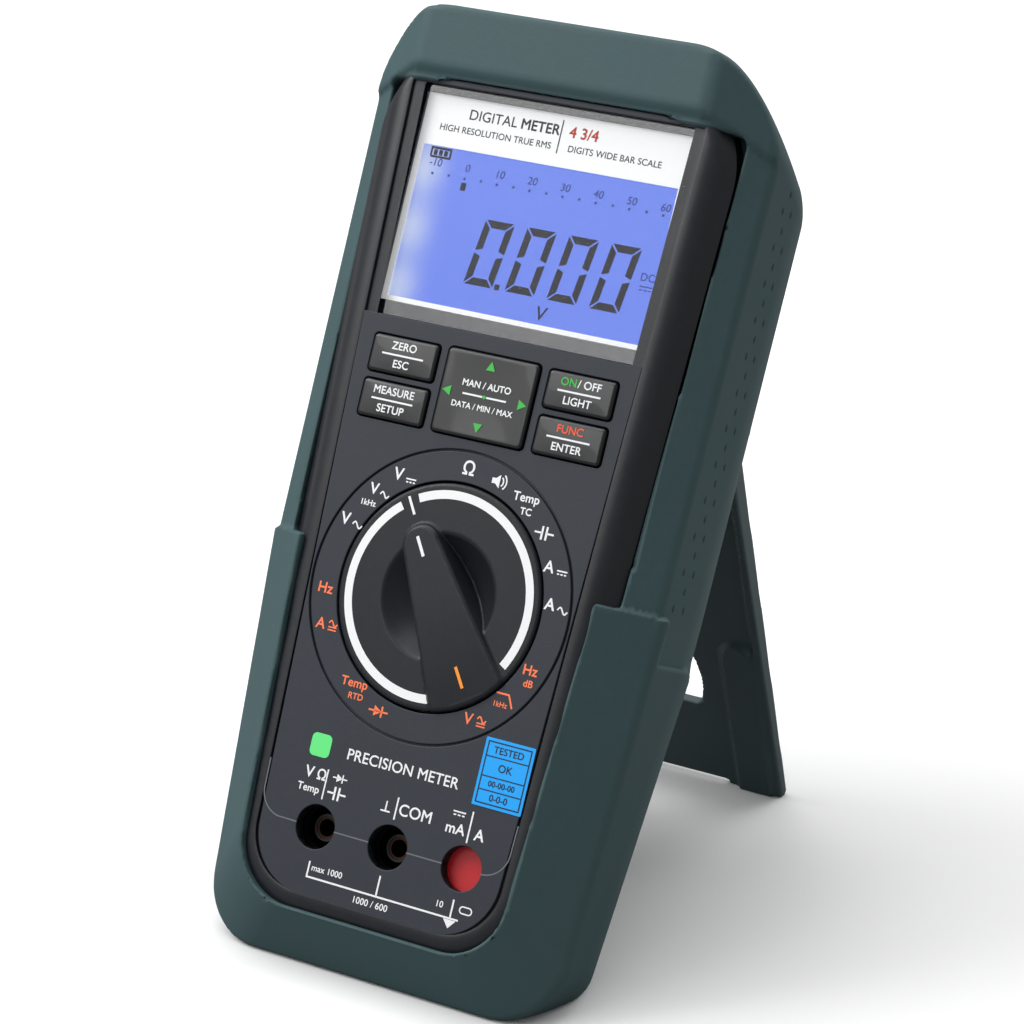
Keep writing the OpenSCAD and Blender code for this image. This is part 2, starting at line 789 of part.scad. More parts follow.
module socket_block() {
    color("#17191c") lean_back() difference() {
        union() {
            for (x = sockets) post(x, socket_y, 6.6, -27, -5.2);
            bar(sockets[1], 2 * socket_pitch, socket_y - 3, socket_y + 3, -27, -5.2);
        }
        for (x = sockets) difference() {
            post(x, socket_y, shroud_r, -24, -4);
            post(x, socket_y, 3.1, -25, -3);
        }
        for (x = sockets) post(x, socket_y, contact_r + 0.55, -28, -3);
    }
}

module contact_tube(x) {
    color("#c9a24a") lean_back() difference() {
        post(x, socket_y, contact_r + 0.5, -27.4, -5.4);
        post(x, socket_y, contact_r, -28, -5);
    }
}

module volt_contact() { contact_tube(sockets[0]); }
module com_contact() { contact_tube(sockets[1]); }
module amp_contact() { contact_tube(sockets[2]); }

// straps from the contacts to the board's end
module socket_straps() {
    color("#c9a24a") lean_back() for (x = sockets) {
        bar(x, 4, socket_y - 2, -47, -28, -27.45);
        bar(x, 4, -47.6, -47, -27.45, board_z - board_t - 0.6);
        bar(x, 4, -47.6, -43.6, board_z - board_t - 0.6, board_z - board_t - 0.02);
    }
}

// ---------------------------------------------------------------- power

module cell(side) {
    color("#b8bcc2") lean_back() translate([side * cell_x, cell_y, cell_z])
        rotate([side * 90, 0, 0]) {
            cylinder(r = cell_r, h = cell_len, center = true);
            translate([0, 0, cell_len / 2]) cylinder(r = 2.7, h = 1);
        }
}

module cell_left() { cell(-1); }
module cell_right() { cell(1); }

// end plates with a coil spring for each cell
module cell_springs() {
    color("silver") lean_back() {
        for (side = [-1, 1]) {
            plate_y = cell_y + side * (cell_len / 2 + 2.6);
            bar(0, 27, plate_y - 0.2, plate_y + 0.2, cell_z - 5, cell_z + 5);
            translate([side * cell_x, plate_y + side * 0.2, cell_z]) rotate([side * 90, 0, 0])
                cylinder(r1 = 3.6, r2 = 2.4, h = 2.2);
        }
    }
}

module fuse() {
    color("#f2efe6") lean_back() translate([0, fuse_y, fuse_z]) rotate([0, 90, 0])
        cylinder(r = 4.8, h = 25, center = true);
}

module fuse_caps() {
    color("#cfd3d6") lean_back() for (side = [-1, 1])
        translate([side * 15.8, fuse_y, fuse_z]) rotate([0, 90, 0])
            cylinder(r = 5.1, h = 6.5, center = true);
}

// spring clips that hold the fuse by its caps
module fuse_clips() {
    color("#c79a3a") lean_back() for (side = [-1, 1]) translate([side * 15.8, 0, 0]) difference() {
        bar(0, 4.6, fuse_y - 6, fuse_y + 6, fuse_z - 4, bay_roof - 0.05);
        bar(0, 6, fuse_y - 5.4, fuse_y + 5.4, fuse_z - 5, fuse_z + 6);
    }
}

module test_label() {
    color("#1b9be0") lean_back() bar(26.1, 12.4, -42, -26.9, 0.01, 0.16);
}

boot();
tilt_stand();
stand_pins();
front_shell();
rear_shell();
battery_door();
door_screws();
case_screws();
display_window();
display_mask();
lcd_panel();
light_guide();
lcd_frame();
zebra_strip();
main_board();
board_chips();
varistors();
current_shunt();
buzzer();
key_mat();
key_zero();
key_measure();
key_power();
key_function();
cursor_pad();
cursor_cross();
cursor_cradle();
knob();
cam_disc();
wiper_contacts();
knob_clip();
detent_spring();
socket_shutter();
socket_block();
volt_contact();
com_contact();
amp_contact();
socket_straps();
cell_left();
cell_right();
cell_springs();
fuse();
fuse_caps();
fuse_clips();
test_label();
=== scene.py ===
import math

import bmesh
import bpy
import numpy as np
from bpy.props import FloatProperty, FloatVectorProperty, IntProperty, PointerProperty
from bpy.types import Operator, Panel, PropertyGroup
from mathutils import Matrix, Vector


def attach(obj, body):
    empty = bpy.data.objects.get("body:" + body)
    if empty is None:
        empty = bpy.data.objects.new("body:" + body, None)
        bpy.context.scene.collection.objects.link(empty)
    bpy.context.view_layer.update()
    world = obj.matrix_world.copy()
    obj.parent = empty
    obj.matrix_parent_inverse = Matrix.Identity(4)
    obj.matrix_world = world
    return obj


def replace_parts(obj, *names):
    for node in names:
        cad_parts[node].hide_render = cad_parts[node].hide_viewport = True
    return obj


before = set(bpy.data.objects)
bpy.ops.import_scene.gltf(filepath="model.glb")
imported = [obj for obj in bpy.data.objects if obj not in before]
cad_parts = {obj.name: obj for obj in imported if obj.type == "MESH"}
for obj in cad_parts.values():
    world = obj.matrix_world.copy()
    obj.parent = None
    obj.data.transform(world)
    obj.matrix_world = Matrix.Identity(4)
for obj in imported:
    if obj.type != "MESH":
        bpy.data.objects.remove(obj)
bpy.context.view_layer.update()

bl_info = {
    "name": "Booted multimeter",
    "version": (1, 0, 0),
    "blender": (4, 5, 0),
    "location": "View3D > Sidebar > Multimeter",
    "description": "Builds the looks of a handheld multimeter in a rubber boot around its fixed frame",
    "category": "Object",
}

# Panel coordinates, in millimetres: X to the right, Y up along the case, Z out of the panel,
# with the selector's centre on the panel at the origin.
LEAN = math.radians(27)
SIN, COS = math.sin(LEAN), math.cos(LEAN)
HEEL_Y, HEEL_Z = -87.6, -8.47
DROP = -(COS * HEEL_Y + SIN * HEEL_Z)
SHIFT = -30.58
MM = 0.001
PANEL = Matrix((
    (MM, 0, 0, 0),
    (0, MM * SIN, -MM * COS, MM * SHIFT),
    (0, MM * COS, MM * SIN, MM * DROP),
    (0, 0, 0, 1)))

CASE_BOTTOM, CASE_TOP = -78.0, 122.0
CASE_TAPER = 0.028
FRONT_Z, FACET_X = 2.4, 37.1
RAIL_HALF, CRADLE_HALF = 49.8, 51.2
CORNER_AT = (51.2, 112.7, -15.3)
CORNER_FACING = (0.6458, 0.6619, -0.3795)
HOOD_WALL = 3.6
HINGE_Y, HINGE_Z = 52.0, -44.5
STAND_ANGLE = math.radians(43.5)
DETENT = 16.36
SOCKET_Y = -56.3
PAD_Y = 45.15
KEY_X = 22.7
KEY_ROWS = (50.15, 39.85)


# ------------------------------------------------------------------ signed distance fields


def round_both(u, v, r):
    """The overlap of two solids, its edge rounded to radius r."""
    return np.minimum(np.maximum(u, v), -r) + np.hypot(np.maximum(u + r, 0), np.maximum(v + r, 0))


def round_either(u, v, r):
    """The two solids together, with a fillet of radius r between them."""
    return -round_both(-u, -v, r)


def minus(u, v, r):
    """The first solid without the second, with the cut's edge rounded."""
    return round_both(u, -v, r)


def floor_side(y, z):
    """How far a point lies below the bench top."""
    return -(COS * y + SIN * z) - DROP


def case_half(y):
    """Half width of the case, which narrows towards the sockets."""
    return settings().case.width / MM / 2 - CASE_TAPER * (CASE_TOP - y)


def case_field(x, y, z):
    """The closed case: rounded outline, sloped border round the panel, heel sloped at the back."""
    s = settings().case
    border = s.border / MM
    a = np.abs(x)
    outline = round_both(a - case_half(y), y - CASE_TOP, 20)
    outline = round_both(outline, CASE_BOTTOM - y, 20)
    f = round_both(outline, (outline + border + z) / math.sqrt(2), 3)
    f = round_both(f, z, 0.8)
    f = round_both(f, -38 - z, 1)
    f = np.maximum(f, corner_side(a, y, z) + 4.2)
    f = np.maximum(f, hood_back(y, z) + HOOD_WALL)
    return round_both(f, floor_side(y, z) + 2.8, 1)


def corner_side(a, y, z):
    """How far a point lies outside the hood's sloped rear corner."""
    return sum(n * (v - start) for n, v, start in zip(CORNER_FACING, (a, y, z), CORNER_AT))


def hood_back(y, z):
    """How far a point lies behind the hood's sloped back."""
    return (y - settings().boot.hood_top / MM) * 0.894 - (z + 25) * 0.447


def boot_field(x, y, z):
    """The rubber boot: hood, two rails and cradle round the case, with the stand's recess."""
    s = settings().boot
    a = np.abs(x)
    top, wide, edge = s.hood_top / MM, s.half_width / MM, s.edge / MM
    cradle_top = s.cradle_top / MM
    rail_half = RAIL_HALF + (wide - RAIL_HALF) * np.clip((y - cradle_top) / (109 - cradle_top), 0, 1)
    upper = round_both(a - rail_half, y - top, 21)
    heel_half = CRADLE_HALF - 0.0573 * (cradle_top - y)
    lower = round_both(a - heel_half, HEEL_Y - y, 16)
    step = np.minimum(round_both(y - cradle_top, -12 - z, 0.6), y - cradle_top + 10)
    lower = round_both(lower, step, 0.9)
    outline = np.minimum(np.maximum(upper, cradle_top - 12 - y), lower)
    blend = np.clip((cradle_top - 9 - y) / 2, 0, 1)
    half = rail_half + (heel_half - rail_half) * blend
    body = round_both(outline, -48 - z, 2)
    side_start = -31 + 7 * np.clip((cradle_top - y) / 95, 0, 1)
    body = round_both(body, (a - half) * 0.877 - (z - side_start) * 0.48, 3)
    body = round_both(body, hood_back(y, z), 4)
    body = round_both(body, corner_side(a, y, z), 3.5)
    body = round_both(body, floor_side(y, z), 1.2)

    slope_n = (0.605, 0.796)
    rise = z - FRONT_Z
    hood = round_both(rise, (a - FACET_X) * slope_n[0] + rise * slope_n[1], edge)
    lip = (s.hood_lip / MM - 0.472 * np.maximum(a - FACET_X, 0) + 1.33 * np.minimum(hood, 0) - y) / 1.73
    rise = z - FRONT_Z + s.rail_drop / MM
    rail = round_both(rise, (a - FACET_X) * slope_n[0] + rise * slope_n[1], edge)
    rail = np.maximum(rail, cradle_top - 6 - y)
    inner = 37.3 + 0.045 * np.minimum(y - 7, 0)
    outer = 50.2 + 0.0487 * np.minimum(y - 7, 0)
    run, fall = outer - inner, 9.8 - 0.0286 * np.minimum(y - 7, 0)
    size = np.hypot(run, fall)
    flank = ((a - inner) * fall + (z - 1.8) * run) / size
    toe = -(y + 74.5) * 0.594 + (z - 1.2) * 0.804
    cradle = round_both(round_both(flank, toe, 9), z - 1.9, edge)
    front = round_either(rail, round_both(hood, lip, 0.5), 0.2)
    front = round_either(front, round_both(cradle, y - cradle_top, 0.7), 0.3)
    body = round_both(body, front, edge)

    body = minus(body, case_field(x, y, z) - 0.3, 0.4)
    rails = round_both(a - (42.3 + 0.0275 * (y - 7)), y - 112.4, 2)
    rails = round_both(rails, cradle_top - 0.2 - y, 0.6)
    well = round_both(a - (37.6 + 0.0567 * np.minimum(y, 0)) - 0.12 * z, -75 - y, 13)
    well = round_both(well, y - 20, 0.5)
    opening = round_both(np.minimum(rails, well), -9 - z, 0.5)
    body = minus(body, opening, 0.8)
    recess = round_both(round_both(a - 39.9, z + 40.7, 1), round_both(y - 60, -72 - y, 0.5), 0.5)
    return minus(body, recess, 0.8)


def stand_field(x, y, z):
    """The tilt stand, opened: a flanged plate with a finger hole and two feet cut to the bench."""
    s = settings().stand
    a = np.abs(x)
    dy, dz = y - HINGE_Y, z - HINGE_Z
    c, sn = math.cos(STAND_ANGLE), math.sin(STAND_ANGLE)
    t = -(dy * c + dz * sn)
    n = dz * c - dy * sn
    length = s.length / MM
    half = s.half_width / MM
    plate = round_both(a - half + 1, round_both(-2.5 - n, n - s.plate / MM + 2.5, 0.4), 0.4)
    plate = round_both(plate, 6 - t, 0.5)
    depth = 2.4 - 1.9 * np.clip((t - 20) / 90, 0, 1)
    flange = round_both(np.abs(a - half + 1.1) - 1.1, round_both(-2.5 - n, n - depth, 0.5), 0.5)
    flange = round_both(flange, -2 - t, 0.5)
    eye = round_both(np.hypot(t, n) - 3.4, np.abs(a - half + 1.6) - 1.6, 0.4)
    boss = round_both(np.hypot(np.minimum(t - 70, 0), a - 32.6) - 4.6, n - 1.5, 1.0)
    boss = round_both(boss, -2.5 - n, 0.3)
    rib = round_both(np.abs(t - 12.5) - 1.3, round_both(a - half + 3, n - 1.6, 0.6), 0.6)
    rib = round_both(rib, -2.5 - n, 0.3)
    f = round_either(plate, flange, 1.0)
    f = round_either(f, boss, 1.2)
    f = round_either(f, rib, 0.8)
    f = np.minimum(f, eye)
    hole = round_both(np.hypot(t - 81, x) - 21, t - 88.2, 1.2)
    f = minus(f, hole, 0.5)
    notch = round_both(a - 24.6, length - 2.2 - t, 0.8)
    f = minus(f, notch, 0.5)
    pin = np.maximum(np.hypot(t, n) - 1.58, 30 - a)
    f = minus(f, pin, 0.1)
    f = round_both(f, t - length, 0.5)
    return np.maximum(f, floor_side(y, z))


def knob_field(x, y, z):
    """The selector: a ring with a dished middle, crossed by a grip that widens to the rim."""
    s = settings().knob
    r = np.hypot(x, y)
    rim = s.radius / MM
    ring_top = 0.35
    f = round_both(r - rim, z - ring_top, 0.7)
    f = round_both(f, -7.5 - z, 0.3)
    dish_r = s.dish_radius / MM
    bowl = 20.5
    depth = 5.7
    dish = np.sqrt(r * r + (z - ring_top - bowl + depth) ** 2) - bowl
    dish = round_both(dish, r - dish_r, 0.2)
    f = minus(f, dish, 0.35)
    along = y + 25.4
    spread = 9.6 - (9.6 - s.grip_tip / MM) * along / 38.0
    wide = (np.abs(x) - spread - 0.16 * (1.8 - z)) * 0.985
    tip = np.hypot(x, y - 12.2) - s.grip_tip / MM - 0.2 * (1.8 - z)
    grip = np.where(y > 12.2, tip, wide)
    top = 1.9 - 0.9 * np.clip((2 - y) / 26, 0, 1) ** 2
    grip = round_both(grip, z - top, 0.8)
    grip = round_both(grip, r - rim + 0.02, 0.8)
    grip = np.maximum(grip, -7 - z)
    return round_either(f, grip, 0.45)


def cap_field(half_x, half_y, top, base, corner, crown):
    """A moulded key cap with round corners, a soft top edge and a slightly crowned top."""
    def field(x, y, z):
        u, v = np.abs(x) - half_x, np.abs(y) - half_y
        side = round_both(u, v, corner) - 0.04 * (top - z)
        bulge = crown * (1 - (x / half_x) ** 2) * (1 - (y / half_y) ** 2)
        return np.maximum(round_both(side, z - top - bulge, 0.7), base - z)
    return field


def surface_net(field, low, high, step):
    """Turns a field into a quad mesh: one vertex per crossed cell, pulled onto the surface."""
    low, high = np.array(low, float), np.array(high, float)
    count = np.ceil((high - low) / step).astype(int) + 1
    axes = [low[i] + step * np.arange(count[i]) for i in range(3)]
    value = field(*np.meshgrid(*axes, indexing="ij"))
    inside = value < 0
    cells = tuple(n - 1 for n in count)
    total = np.zeros(cells + (3,))
    hits = np.zeros(cells)
    corner = [(i, j, k) for i in (0, 1) for j in (0, 1) for k in (0, 1)]

    def at(grid, c):
        return grid[c[0]:c[0] + cells[0], c[1]:c[1] + cells[1], c[2]:c[2] + cells[2]]

    for c in corner:
        for axis in range(3):
            if c[axis]:
                continue
            d = list(c)
            d[axis] = 1
            va, vb = at(value, c), at(value, d)
            cross = at(inside, c) != at(inside, d)
            span = np.where(cross, va - vb, 1)
            point = np.zeros(cells + (3,)) + np.array(c, float)
            point[..., axis] += np.where(cross, va / span, 0)
            total += point * cross[..., None]
            hits += cross
    used = hits > 0
    index = np.full(cells, -1)
    index[used] = np.arange(int(used.sum()))
    where = np.argwhere(used)
    verts = low + step * (where + total[used] / hits[used][:, None])

    quads = []
    for axis in range(3):
        p, q = [i for i in range(3) if i != axis]
        start = [slice(None)] * 3
        start[axis] = slice(0, -1)
        end = [slice(None)] * 3
        end[axis] = slice(1, None)
        first, second = inside[tuple(start)], inside[tuple(end)]
        found = np.argwhere(first != second)
        found = found[(found[:, p] > 0) & (found[:, q] > 0) &
                      (found[:, p] < count[p] - 1) & (found[:, q] < count[q] - 1)]
        ring = []
        for dp, dq in ((1, 1), (0, 1), (0, 0), (1, 0)):
            cell = found.copy()
            cell[:, p] -= dp
            cell[:, q] -= dq
            ring.append(index[tuple(cell.T)])
        face = np.stack(ring, 1)
        flip = first[tuple(found.T)]
        if axis == 1:
            flip = ~flip
        face[~flip] = face[~flip][:, ::-1]
        quads.append(face)
    faces = np.concatenate(quads)

    start = verts.copy()
    for _ in range(4):
        value, slope = slope_of(field, verts, step * 0.02)
        move = -value[:, None] * slope / np.maximum((slope ** 2).sum(1), 0.05)[:, None]
        verts = start + np.clip(verts + move - start, -0.6 * step, 0.6 * step)
    _, slope = slope_of(field, verts, step * 0.08)
    normals = slope / np.maximum(np.linalg.norm(slope, axis=1), 1e-9)[:, None]
    return verts, faces, normals


def slope_of(field, points, eps):
    """The field's value and gradient at some points."""
    x, y, z = points.T
    slope = np.stack([
        field(x + eps, y, z) - field(x - eps, y, z),
        field(x, y + eps, z) - field(x, y - eps, z),
        field(x, y, z + eps) - field(x, y, z - eps)], 1) / (2 * eps)
    return field(x, y, z), slope


# ------------------------------------------------------------------ meshes


def settings():
    return bpy.context.scene.booted_meter


def place(name, mesh, body, material, sharp=35, turn=None):
    """Puts a mesh drawn in panel millimetres into the standing frame, riding on a body."""
    if turn is not None:
        mesh.transform(turn)
    mesh.transform(PANEL)
    obj = bpy.data.objects.new(name, mesh)
    bpy.context.scene.collection.objects.link(obj)
    mesh.materials.clear()
    for m in material if isinstance(material, (list, tuple)) else [material]:
        mesh.materials.append(m)
    if sharp is not None:
        mesh.polygons.foreach_set("use_smooth", [True] * len(mesh.polygons))
        mesh.set_sharp_from_angle(angle=math.radians(sharp))
    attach(obj, body)
    return obj


def place_net(name, field, low, high, step, body, material, offset=(0, 0, 0), spin=0.0):
    """A piece made from a field, with its shading taken from the field itself."""
    verts, faces, normals = surface_net(field, low, high, step)
    turn = Matrix.Translation(offset) @ Matrix.Rotation(spin, 4, "Z")
    mesh = bpy.data.meshes.new(name)
    mesh.from_pydata(verts.tolist(), [], faces.tolist())
    mesh.validate()
    mesh.transform(turn)
    mesh.transform(PANEL)
    mesh.polygons.foreach_set("use_smooth", [True] * len(mesh.polygons))
    rotate = np.array((PANEL @ turn).to_3x3().normalized())
    if len(mesh.vertices) == len(normals):
        mesh.normals_split_custom_set_from_vertices((normals @ rotate.T).tolist())
    mesh.materials.append(material)
    obj = bpy.data.objects.new(name, mesh)
    bpy.context.scene.collection.objects.link(obj)
    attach(obj, body)
    return obj


def arc(cx, cy, r, a0, a1, n):
    return [(cx + r * math.cos(math.radians(a0 + (a1 - a0) * i / n)),
             cy + r * math.sin(math.radians(a0 + (a1 - a0) * i / n))) for i in range(n + 1)]


def circle(cx, cy, r, n=96):
    return arc(cx, cy, r, 0, 360, n)[:-1]


def round_box(cx, cy, w, h, r, n=6):
    x0, x1, y0, y1 = cx - w / 2 + r, cx + w / 2 - r, cy - h / 2 + r, cy + h / 2 - r
    return (arc(x1, y0, r, -90, 0, n) + arc(x1, y1, r, 0, 90, n) +
            arc(x0, y1, r, 90, 180, n) + arc(x0, y0, r, 180, 270, n))


def tapered(wb, wt, y0, y1, rb, rt, n=12):
    """Four-cornered outline, symmetric about the middle, with its own width at each end."""
    return (arc(wb - rb, y0 + rb, rb, -90, 0, n) + arc(wt - rt, y1 - rt, rt, 0, 90, n) +
            arc(rt - wt, y1 - rt, rt, 90, 180, n) + arc(rb - wb, y0 + rb, rb, 180, 270, n))


def case_outline(inset):
    """The case's outline; its top corners tighten towards the panel."""
    y0, y1 = CASE_BOTTOM + inset, CASE_TOP - inset
    return tapered(case_half(y0) - inset, case_half(y1) - inset, y0, y1,
                   max(1.0, 20 - inset), max(1.0, 20 - 2.3 * inset), 14)


def filled(loops, z_low, z_high, bevel=0.0, segments=3):
    """A flat plate from an outline and its holes, with softly rounded rims."""
    data = bpy.data.curves.new("plate", "CURVE")
    data.dimensions = "2D"
    data.fill_mode = "BOTH"
    data.extrude = (z_high - z_low) / 2 - bevel
    data.bevel_depth = bevel
    data.bevel_resolution = segments
    data.offset = -bevel
    for i, loop in enumerate(loops):
        area = sum(a[0] * b[1] - b[0] * a[1] for a, b in zip(loop, loop[1:] + loop[:1]))
        ordered = loop if (area > 0) == (i == 0) else loop[::-1]
        spline = data.splines.new("POLY")
        spline.points.add(len(ordered) - 1)
        spline.points.foreach_set("co", [c for p in ordered for c in (p[0], p[1], 0, 1)])
        spline.use_cyclic_u = True
    mesh = curve_mesh(data)
    mesh.transform(Matrix.Translation((0, 0, (z_low + z_high) / 2)))
    return mesh


def curve_mesh(data):
    """Converts a curve or a text to a plain mesh and drops the curve."""
    obj = bpy.data.objects.new("curve", data)
    bpy.context.scene.collection.objects.link(obj)
    bpy.context.view_layer.update()
    mesh = bpy.data.meshes.new_from_object(obj.evaluated_get(bpy.context.evaluated_depsgraph_get()))
    bpy.data.objects.remove(obj)
    bpy.data.curves.remove(data)
    return mesh


def lofted(rings, closed=False, caps=(False, False)):
    """Skins rings of equal length, each a list of 3-D points."""
    n = len(rings[0])
    verts = [p for ring in rings for p in ring]
    faces = []
    last = len(rings) if closed else len(rings) - 1
    for i in range(last):
        a, b = i * n, ((i + 1) % len(rings)) * n
        faces += [(a + j, a + (j + 1) % n, b + (j + 1) % n, b + j) for j in range(n)]
    if caps[0]:
        faces.append(tuple(range(n))[::-1])
    if caps[1]:
        faces.append(tuple(range((len(rings) - 1) * n, len(rings) * n)))
    mesh = bpy.data.meshes.new("loft")
    mesh.from_pydata(verts, [], faces)
    face_outward(mesh)
    return mesh


def turned(profile, n=96, closed=True):
    """A lathe solid about Z from (radius, height) points."""
    rings = [[(r * math.cos(2 * math.pi * j / n), r * math.sin(2 * math.pi * j / n), z)
              for j in range(n)] for r, z in profile]
    return lofted(rings, closed=closed)


def face_outward(mesh):
    bm = bmesh.new()
    bm.from_mesh(mesh)
    bmesh.ops.remove_doubles(bm, verts=bm.verts, dist=1e-5)
    bmesh.ops.recalc_face_normals(bm, faces=bm.faces)
    bm.to_mesh(mesh)
    bm.free()


def joined(name, meshes):
    """Several meshes as one."""
    bm = bmesh.new()
    for m in meshes:
        bm.from_mesh(m)
        bpy.data.meshes.remove(m)
    out = bpy.data.meshes.new(name)
    bm.to_mesh(out)
    bm.free()
    return out


# ------------------------------------------------------------------ printed marks

INK_LIFT = 0.035
STROKE_SHIFTS = ((0, 0), (1, 0.4), (-1, -0.4), (0.4, -1), (-0.4, 1))


def strip(points, width, z=0.0):
    """A printed line of even width through some points."""
    pts = [Vector(p) for p in points]
    left, right = [], []
    for i, p in enumerate(pts):
        before = (p - pts[i - 1]).normalized() if i else None
        after = (pts[i + 1] - p).normalized() if i + 1 < len(pts) else None
        if before is None or after is None:
            d = after if before is None else before
            side = Vector((-d.y, d.x)) * width / 2
        else:
            na, nb = Vector((-before.y, before.x)), Vector((-after.y, after.x))
            mid = (na + nb).normalized()
            side = mid * width / 2 / max(0.35, mid.dot(na))
        left.append((p.x + side.x, p.y + side.y, z))
        right.append((p.x - side.x, p.y - side.y, z))
    n = len(pts)
    mesh = bpy.data.meshes.new("strip")
    mesh.from_pydata(left + right, [], [(n + i, n + i + 1, i + 1, i) for i in range(n - 1)])
    return mesh


def patch(points, z=0.0):
    mesh = bpy.data.meshes.new("patch")
    mesh.from_pydata([(p[0], p[1], z) for p in points], [], [tuple(range(len(points)))])
    bm = bmesh.new()
    bm.from_mesh(mesh)
    bmesh.ops.triangulate(bm, faces=bm.faces)
    for face in bm.faces:
        if face.normal.z < 0:
            face.normal_flip()
    bm.to_mesh(mesh)
    bm.free()
    return mesh


def words(text, size, x, y, angle=0.0, weight=0.0, align="CENTER", shear=0.0):
    """Flat lettering in the built-in font, centred on a point."""
    data = bpy.data.curves.new("words", "FONT")
    data.body = text
    data.size = size
    data.align_x = align
    data.align_y = "CENTER"
    data.shear = shear
    data.space_character = 1.02
    data.fill_mode = "FRONT"
    letter = curve_mesh(data)
    strokes = []
    for i, (across, along) in enumerate(STROKE_SHIFTS if weight else STROKE_SHIFTS[:1]):
        stroke = letter.copy()
        stroke.transform(Matrix.Translation((weight * across, weight * along, 0.002 * i)))
        strokes.append(stroke)
    bpy.data.meshes.remove(letter)
    mesh = joined("word", strokes)
    return at(mesh, x, y, angle)


def at(mesh, x, y, angle=0.0, scale=1.0):
    mesh.transform(Matrix.Translation((x, y, 0)) @ Matrix.Rotation(math.radians(angle), 4, "Z")
                   @ Matrix.Scale(scale, 4))
    return mesh


def wave(x, y, w):
    """The sine mark for alternating current."""
    return strip([(x + w * (i / 12 - 0.5), y + 0.28 * w * math.sin(2 * math.pi * i / 12))
                  for i in range(13)], 0.34)


def bar_and_dashes(x, y, w):
    """The mark for direct current: a line over three dashes."""
    gap = w / 3
    out = [strip([(x - w / 2, y + 0.42), (x + w / 2, y + 0.42)], 0.32)]
    out += [strip([(x + (i - 1.32) * gap, y - 0.3), (x + (i - 0.68) * gap, y - 0.3)], 0.32)
            for i in range(3)]
    return out


def both_currents(x, y, w):
    return [wave(x, y + 0.75, w), strip([(x - w / 2, y - 0.1), (x + w / 2, y - 0.1)], 0.3),
            strip([(x - w / 2, y - 0.75), (x + w / 2, y - 0.75)], 0.3)]


def capacitor_mark(x, y):
    return [strip([(x - 2.4, y), (x - 0.55, y)], 0.42), strip([(x + 0.55, y), (x + 2.4, y)], 0.42),
            strip([(x - 0.55, y - 1.5), (x - 0.55, y + 1.5)], 0.5),
            strip([(x + 0.55, y - 1.5), (x + 0.55, y + 1.5)], 0.5)]


def diode_mark(x, y, s=1.0):
    return [strip([(x - 2.5 * s, y), (x + 2.5 * s, y)], 0.4 * s),
            patch([(x - 1.1 * s, y - 1.2 * s), (x + 0.9 * s, y), (x - 1.1 * s, y + 1.2 * s)]),
            strip([(x + 0.9 * s, y - 1.25 * s), (x + 0.9 * s, y + 1.25 * s)], 0.45 * s)]


def sounder_mark(x, y, s=1.0):
    out = [patch([(x - 1.9 * s, y - 0.6 * s), (x - 1.0 * s, y - 0.6 * s), (x + 0.1 * s, y - 1.5 * s),
                  (x + 0.1 * s, y + 1.5 * s), (x - 1.0 * s, y + 0.6 * s), (x - 1.9 * s, y + 0.6 * s)])]
    for r in (1.3, 2.1):
        out.append(strip(arc(x - 0.3 * s, y, r * s, -48, 48, 8), 0.34 * s))
    return out


def filter_mark(x, y):
    out = [strip([(x - 2.3, y + 1.5), (x + 0.8, y + 1.5), (x + 2.2, y - 1.3)], 0.42)]
    return out


def dial_point(clockwise, radius):
    a = math.radians(clockwise)
    return radius * math.sin(a), radius * math.cos(a)


def print_marks(name, body, material, marks, z, turn=None):
    """Joins flat marks into one printed layer just above a surface."""
    mesh = joined(name, marks)
    mesh.transform(Matrix.Translation((0, 0, z + INK_LIFT)))
    return place(name, mesh, body, material, sharp=None, turn=turn)


# ------------------------------------------------------------------ materials


def srgb(r, g, b):
    return tuple((c / 255 / 12.92 if c / 255 <= 0.04045 else ((c / 255 + 0.055) / 1.055) ** 2.4)
                 for c in (r, g, b))


def new_group(name, inputs, outputs):
    tree = bpy.data.node_groups.new(name, "ShaderNodeTree")
    for label, kind, value in inputs:
        item = tree.interface.new_socket(label, in_out="INPUT", socket_type=kind)
        item.default_value = value
    for label, kind in outputs:
        tree.interface.new_socket(label, in_out="OUTPUT", socket_type=kind)
    return tree, tree.nodes.new("NodeGroupInput"), tree.nodes.new("NodeGroupOutput")


def noise(tree, coords, scale, detail=3.0, rough=0.5):
    node = tree.nodes.new("ShaderNodeTexNoise")
    node.inputs["Scale"].default_value = scale
    node.inputs["Detail"].default_value = detail
    node.inputs["Roughness"].default_value = rough
    tree.links.new(coords, node.inputs["Vector"])
    return node.outputs["Fac"]


def ramp(tree, value, low, high, out_low, out_high):
    node = tree.nodes.new("ShaderNodeMapRange")
    node.clamp = True
    for key, v in (("From Min", low), ("From Max", high), ("To Min", out_low), ("To Max", out_high)):
        node.inputs[key].default_value = v
    tree.links.new(value, node.inputs["Value"])
    return node


